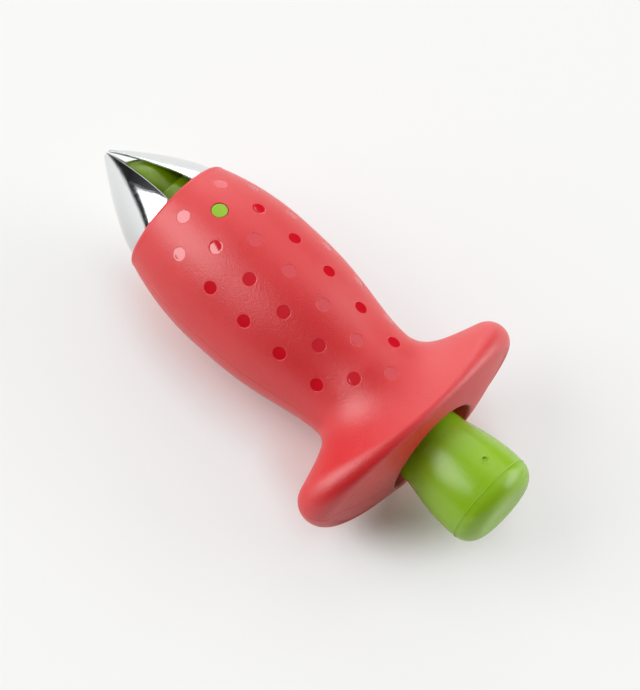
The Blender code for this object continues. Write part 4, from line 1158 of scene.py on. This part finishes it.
def painted_board(name, base):
    """White painted board, the table: matt, so it takes a soft shadow and no mirror image.

    In the picture a share of the board shines by itself, which keeps the background as even as a light box.
    The share goes down to none where the tool stands close over the board, so the contact shadow is dark.
    """
    tree, shader, coordinates = new_material(name, base, {"Roughness": 0.85, "Specular IOR Level": 0.2})
    # The paint is very slightly uneven, over about 0.8 mm.
    add_grain(tree, shader, coordinates, 0.0008, 0.00001, 0.1)
    s = bpy.context.scene.huller_stage
    glow = add_node(tree, "ShaderNodeEmission", {"Color": (1, 1, 1, 1), "Strength": s.backdrop})
    sky = add_node(tree, "ShaderNodeAmbientOcclusion", {"Distance": s.contact_reach}, samples=16)
    sockets = {"Value": sky.outputs["AO"], "From Min": 0.45, "From Max": 0.8, "To Min": 0.0, "To Max": s.table_glow}
    share_here = add_node(tree, "ShaderNodeMapRange", sockets)
    path = add_node(tree, "ShaderNodeLightPath", {})
    sockets = {"Value": path.outputs["Is Camera Ray"], "To Min": 0.0, "To Max": share_here.outputs["Result"]}
    level = add_node(tree, "ShaderNodeMapRange", sockets)
    sockets = {0: level.outputs["Result"], 1: shader.outputs["BSDF"], 2: glow.outputs["Emission"]}
    mix = add_node(tree, "ShaderNodeMixShader", sockets)
    tree.links.new(mix.outputs["Shader"], tree.nodes["Material Output"].inputs["Surface"])


MATERIALS = {
    "red_abs_spark_eroded": (red_abs_skin, "red"),
    "red_abs_polished": (red_abs_polished, "seed_red"),
    "green_polypropylene": (green_polypropylene, "green"),
    # The guide's copy of the green plastic, darkened by painted shade.
    "dark_green_polypropylene": (green_polypropylene, "dark_green"),
    "stainless_mirror_polished": (polished_steel, "steel"),
    "drawn_bright_steel": (plain_steel, "plain_steel"),
    "natural_nylon": (natural_nylon, "nylon"),
    "white_painted_board": (painted_board, "table"),
}


def get_material(name):
    """A material by its name, made at its first use by its function and from its colour property."""
    if name not in bpy.data.materials:
        maker, colour_name = MATERIALS[name]
        maker(name, tuple(getattr(bpy.context.scene.huller_colours, colour_name)))
    return bpy.data.materials[name]


# Operators


class HULLER_OT_shells(bpy.types.Operator):
    """Make the two red shells of the handle."""

    bl_idname = "huller.shells"
    bl_label = "Shells"
    bl_options = {"UNDO"}

    def execute(self, context):
        h = context.scene.huller_handle
        third = 2 * math.pi / 3
        # Each shell's pins are given as angles from its own middle.
        make_shell(h, "shell_upper", 1, (0.0,))
        make_shell(h, "shell_lower", -1, (third - math.pi, math.pi - third))
        return {"FINISHED"}


class HULLER_OT_claws(bpy.types.Operator):
    """Make the three steel claws."""

    bl_idname = "huller.claws"
    bl_label = "Claws"
    bl_options = {"UNDO"}

    def execute(self, context):
        for name, degrees in CLAW_TURNS.items():
            make_claw(context.scene.huller_claws, f"claw_{name}", math.radians(degrees))
        return {"FINISHED"}


class HULLER_OT_axles(bpy.types.Operator):
    """Make the three axles of the claws."""

    bl_idname = "huller.axles"
    bl_label = "Axles"
    bl_options = {"UNDO"}

    def execute(self, context):
        c = context.scene.huller_claws
        half = c.axle_length / 2
        outline = rounded([(-half, 0.0), (-half, c.axle_radius), (half, c.axle_radius), (half, 0.0)], 0.00015)
        for name, degrees in CLAW_TURNS.items():
            points = turned(outline, 48, tangent_place(c.hinge_station, c.hinge_radius, math.radians(degrees)))
            nodes = [f"claw_axle_{name}"]
            make_piece(points, f"axle_{name}", "plunger", nodes, "inner_steel", "drawn_bright_steel")
        return {"FINISHED"}


class HULLER_OT_guide(bpy.types.Operator):
    """Make the green guide in the mouth and the three pins that hold it.

    The guide is a turned outline. Its core ahead of the nose is a foot radius times one minus the share of
    the way to its point raised to the core's power.
    """

    bl_idname = "huller.guide"
    bl_label = "Guide and pins"
    bl_options = {"UNDO"}

    def execute(self, context):
        c, h = context.scene.huller_claws, context.scene.huller_handle
        rim_end, bore_floor = 0.002, 0.004
        part = np.linspace(1, 0, 13)
        core = np.stack([-c.nose_length - c.core_length * part, c.core_radius * (1 - part**CORE_POWER)], 1)
        outline = [
            (-0.8 * c.nose_length, c.nose_shoulder),
            (0.0, c.rim_radius),
            (rim_end, c.rim_radius),
            (c.tail_station, c.tail_radius),
            (c.tail_station, c.guide_bore),
            (bore_floor, c.guide_bore),
            (bore_floor, 0.0),
        ]
        size = [0.0012, 0.0006, 0.0008, 0.0003, 0.0003, 0.0004, 0]
        shape = Shape()
        shape.add_sheet(turned(np.concatenate([core, rounded(outline, size, 6)]), 128))
        for degrees in PIN_TURNS.values():
            shape.add_sheet(lug_points(c, h, math.radians(degrees)))
        # The guide is drawn in the green plastic darkened by painted shade.
        shape.finish("guide", "housing", ["claw_guide"], "green_plastic", "dark_green_polypropylene")
        for name, degrees in PIN_TURNS.items():
            points, nodes = pin_points(h, math.radians(degrees)), [f"guide_pin_{name}"]
            make_piece(points, f"pin_{name}", "housing", nodes, "green_plastic", "green_polypropylene")
        return {"FINISHED"}


class HULLER_OT_button(bpy.types.Operator):
    """Make the green push button."""

    bl_idname = "huller.button"
    bl_label = "Button"
    bl_options = {"UNDO"}

    def execute(self, context):
        make_button(context.scene.huller_plunger, context.scene.huller_handle)
        return {"FINISHED"}


class HULLER_OT_rod(bpy.types.Operator):
    """Make the push rod, its bush and the spring's washers."""

    bl_idname = "huller.rod"
    bl_label = "Rod, bush and washers"
    bl_options = {"UNDO"}

    def execute(self, context):
        p = context.scene.huller_plunger
        steel = "inner_steel", "drawn_bright_steel"
        rod = [
            (p.rod_front, PILOT_RADIUS), (p.rod_front, p.rod_radius), (p.rod_rear, p.rod_radius),
            (p.rod_rear, 0.0), (PILOT_END, 0.0), (PILOT_END, PILOT_RADIUS),
        ]
        bore, thick = p.rod_radius + CLOSE_FIT, p.flange_thickness
        bush = [
            (p.bush_front, bore), (p.bush_front, p.bush_flange), (p.bush_front + thick, p.bush_flange),
            (p.bush_front + thick, p.bush_radius), (p.bush_rear - thick, p.bush_radius),
            (p.bush_rear - thick, p.bush_flange), (p.bush_rear, p.bush_flange), (p.bush_rear, bore),
        ]
        pieces = [
            ("rod", rod, [0.0002, 0.0004, 0.0004, 0, 0, 0.0002], "plunger", "push_rod", *steel),
            ("bush", bush, 0.0002, "housing", "rod_bush", "pale_plastic", "natural_nylon"),
        ]
        for name, front, body in (("front", p.front_washer, "housing"), ("rear", p.rear_washer, "plunger")):
            rear, hole = front + p.washer_thickness, p.rod_radius + p.fit
            washer = [(front, hole), (front, p.washer_radius), (rear, p.washer_radius), (rear, hole)]
            pieces.append((f"washer_{name}", washer, 0.00015, body, f"spring_washer_{name}", *steel))
        for name, outline, size, body, node, *look in pieces:
            make_piece(turned(rounded(outline, size), 96), name, body, [node], *look)
        return {"FINISHED"}


class HULLER_OT_spring(bpy.types.Operator):
    """Make the return spring, which in the real tool shortens as the button goes in."""

    bl_idname = "huller.spring"
    bl_label = "Spring"
    bl_options = {"UNDO"}

    def execute(self, context):
        p = context.scene.huller_plunger
        look = "inner_steel", "drawn_bright_steel"
        spring = make_piece(spring_points(p), "spring", "housing", ["return_spring"], *look)
        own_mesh(spring)
        return {"FINISHED"}


class HULLER_OT_carrier(bpy.types.Operator):
    """Finish the carrier and its screw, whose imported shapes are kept."""

    bl_idname = "huller.carrier"
    bl_label = "Carrier and screw"
    bl_options = {"UNDO"}

    def execute(self, context):
        finishes = {"claw_carrier": "green_polypropylene", "carrier_screw": "drawn_bright_steel"}
        for node, finish in finishes.items():
            frame["nodes"][node].material_slots[0].material = get_material(finish)
        return {"FINISHED"}


def add_softbox(name, distance, azimuth, elevation, size, brightness):
    """A rectangular lamp that faces the tool.

    Azimuth and elevation are the degrees of the direction to its middle. Size is its width and height as
    degrees seen from the tool. Its power is its brightness times pi times its area.
    """
    width, height = (2 * distance * math.tan(math.radians(a) / 2) for a in size)
    lamp = bpy.data.lights.new(name, "AREA")
    lamp.shape = "RECTANGLE"
    lamp.size, lamp.size_y = width, height
    lamp.energy = brightness * math.pi * width * height
    turn = Matrix.Rotation(math.radians(azimuth + 90), 4, "Z") @ Matrix.Rotation(math.radians(90 - elevation), 4, "X")
    holder = bpy.data.objects.new(name, lamp)
    holder.matrix_world = turn @ Matrix.Translation((0, 0, distance))
    bpy.context.scene.collection.objects.link(holder)


class HULLER_OT_stage(bpy.types.Operator):
    """Make the table, the lamps, the studio round them and the camera."""

    bl_idname = "huller.stage"
    bl_label = "Stage"
    bl_options = {"UNDO"}

    def execute(self, context):
        scene = context.scene
        s = scene.huller_stage
        half = s.table_half
        corners = [(-half, -half, 0), (half, -half, 0), (half, half, 0), (-half, half, 0)]
        mesh = bpy.data.meshes.new("table")
        mesh.from_pydata(corners, [], [(0, 1, 2, 3)])
        mesh.materials.append(get_material("white_painted_board"))
        table = bpy.data.objects.new("table", mesh)
        scene.collection.objects.link(table)

        for name, (setting, azimuth, elevation, *size) in SOFTBOXES.items():
            add_softbox(name, s.lamp_distance, azimuth, elevation, size, getattr(s, setting))

        world = bpy.data.worlds.new("studio")
        world.use_nodes = True
        tree = world.node_tree
        background = tree.nodes["Background"]
        background.inputs["Color"].default_value = (0.97, 0.985, 1, 1)
        # The room is black low down and grey overhead, which gives the steel its dark edges.
        coordinates = add_node(tree, "ShaderNodeTexCoord", {}).outputs["Generated"]
        height = add_node(tree, "ShaderNodeSeparateXYZ", {"Vector": coordinates}).outputs["Z"]
        low, high = 0.2 * s.studio, 2.2 * s.studio
        sockets = {"Value": height, "From Min": 0.2, "From Max": 1.0, "To Min": low, "To Max": high}
        room = add_node(tree, "ShaderNodeMapRange", sockets)
        path = add_node(tree, "ShaderNodeLightPath", {})
        sockets = {"Value": path.outputs["Is Camera Ray"], "To Min": room.outputs["Result"], "To Max": s.backdrop}
        level = add_node(tree, "ShaderNodeMapRange", sockets)
        tree.links.new(level.outputs["Result"], background.inputs["Strength"])
        scene.world = world

        direction = Vector((
            math.cos(s.elevation) * math.cos(s.azimuth),
            math.cos(s.elevation) * math.sin(s.azimuth),
            math.sin(s.elevation),
        ))
        lens = bpy.data.cameras.new("camera")
        lens.lens = s.lens
        lens.sensor_width = 36
        lens.clip_start, lens.clip_end = 0.05, 20
        camera = bpy.data.objects.new("camera", lens)
        look = (-direction).to_track_quat("-Z", "Y").to_matrix().to_4x4()
        place = Matrix.Translation(Vector(s.target) + direction * s.distance)
        camera.matrix_world = place @ look @ Matrix.Rotation(s.roll, 4, "Z")
        scene.collection.objects.link(camera)
        scene.camera = camera
        scene.view_settings.view_transform = "Standard"
        return {"FINISHED"}


PIECES = (
    HULLER_OT_shells,
    HULLER_OT_guide,
    HULLER_OT_claws,
    HULLER_OT_axles,
    HULLER_OT_button,
    HULLER_OT_rod,
    HULLER_OT_spring,
    HULLER_OT_carrier,
    HULLER_OT_stage,
)

SETTINGS = {
    "huller_handle": HullerHandle,
    "huller_claws": HullerClaws,
    "huller_plunger": HullerPlunger,
    "huller_colours": HullerColours,
    "huller_stage": HullerStage,
}


class HULLER_PT_panel(bpy.types.Panel):
    """The pieces in the order they are made."""

    bl_idname = "HULLER_PT_panel"
    bl_label = "Strawberry Huller"
    bl_space_type = "VIEW_3D"
    bl_region_type = "UI"
    bl_category = "Huller"

    def draw(self, context):
        for piece in PIECES:
            self.layout.operator(piece.bl_idname)


def register():
    """Registers the settings, the operators and the panel, and puts the settings on the scene."""
    for settings in SETTINGS.values():
        bpy.utils.register_class(settings)
    for name, settings in SETTINGS.items():
        setattr(bpy.types.Scene, name, PointerProperty(type=settings))
    for piece in PIECES:
        bpy.utils.register_class(piece)
    bpy.utils.register_class(HULLER_PT_panel)


def unregister():
    """Takes away what register added, in the opposite order."""
    bpy.utils.unregister_class(HULLER_PT_panel)
    for piece in reversed(PIECES):
        bpy.utils.unregister_class(piece)
    for name in SETTINGS:
        delattr(bpy.types.Scene, name)
    for settings in reversed(SETTINGS.values()):
        bpy.utils.unregister_class(settings)


def main():
    register()
    for piece in PIECES:
        group, name = piece.bl_idname.split(".")
        getattr(getattr(bpy.ops, group), name)()


if __name__ == "__main__":
    main()
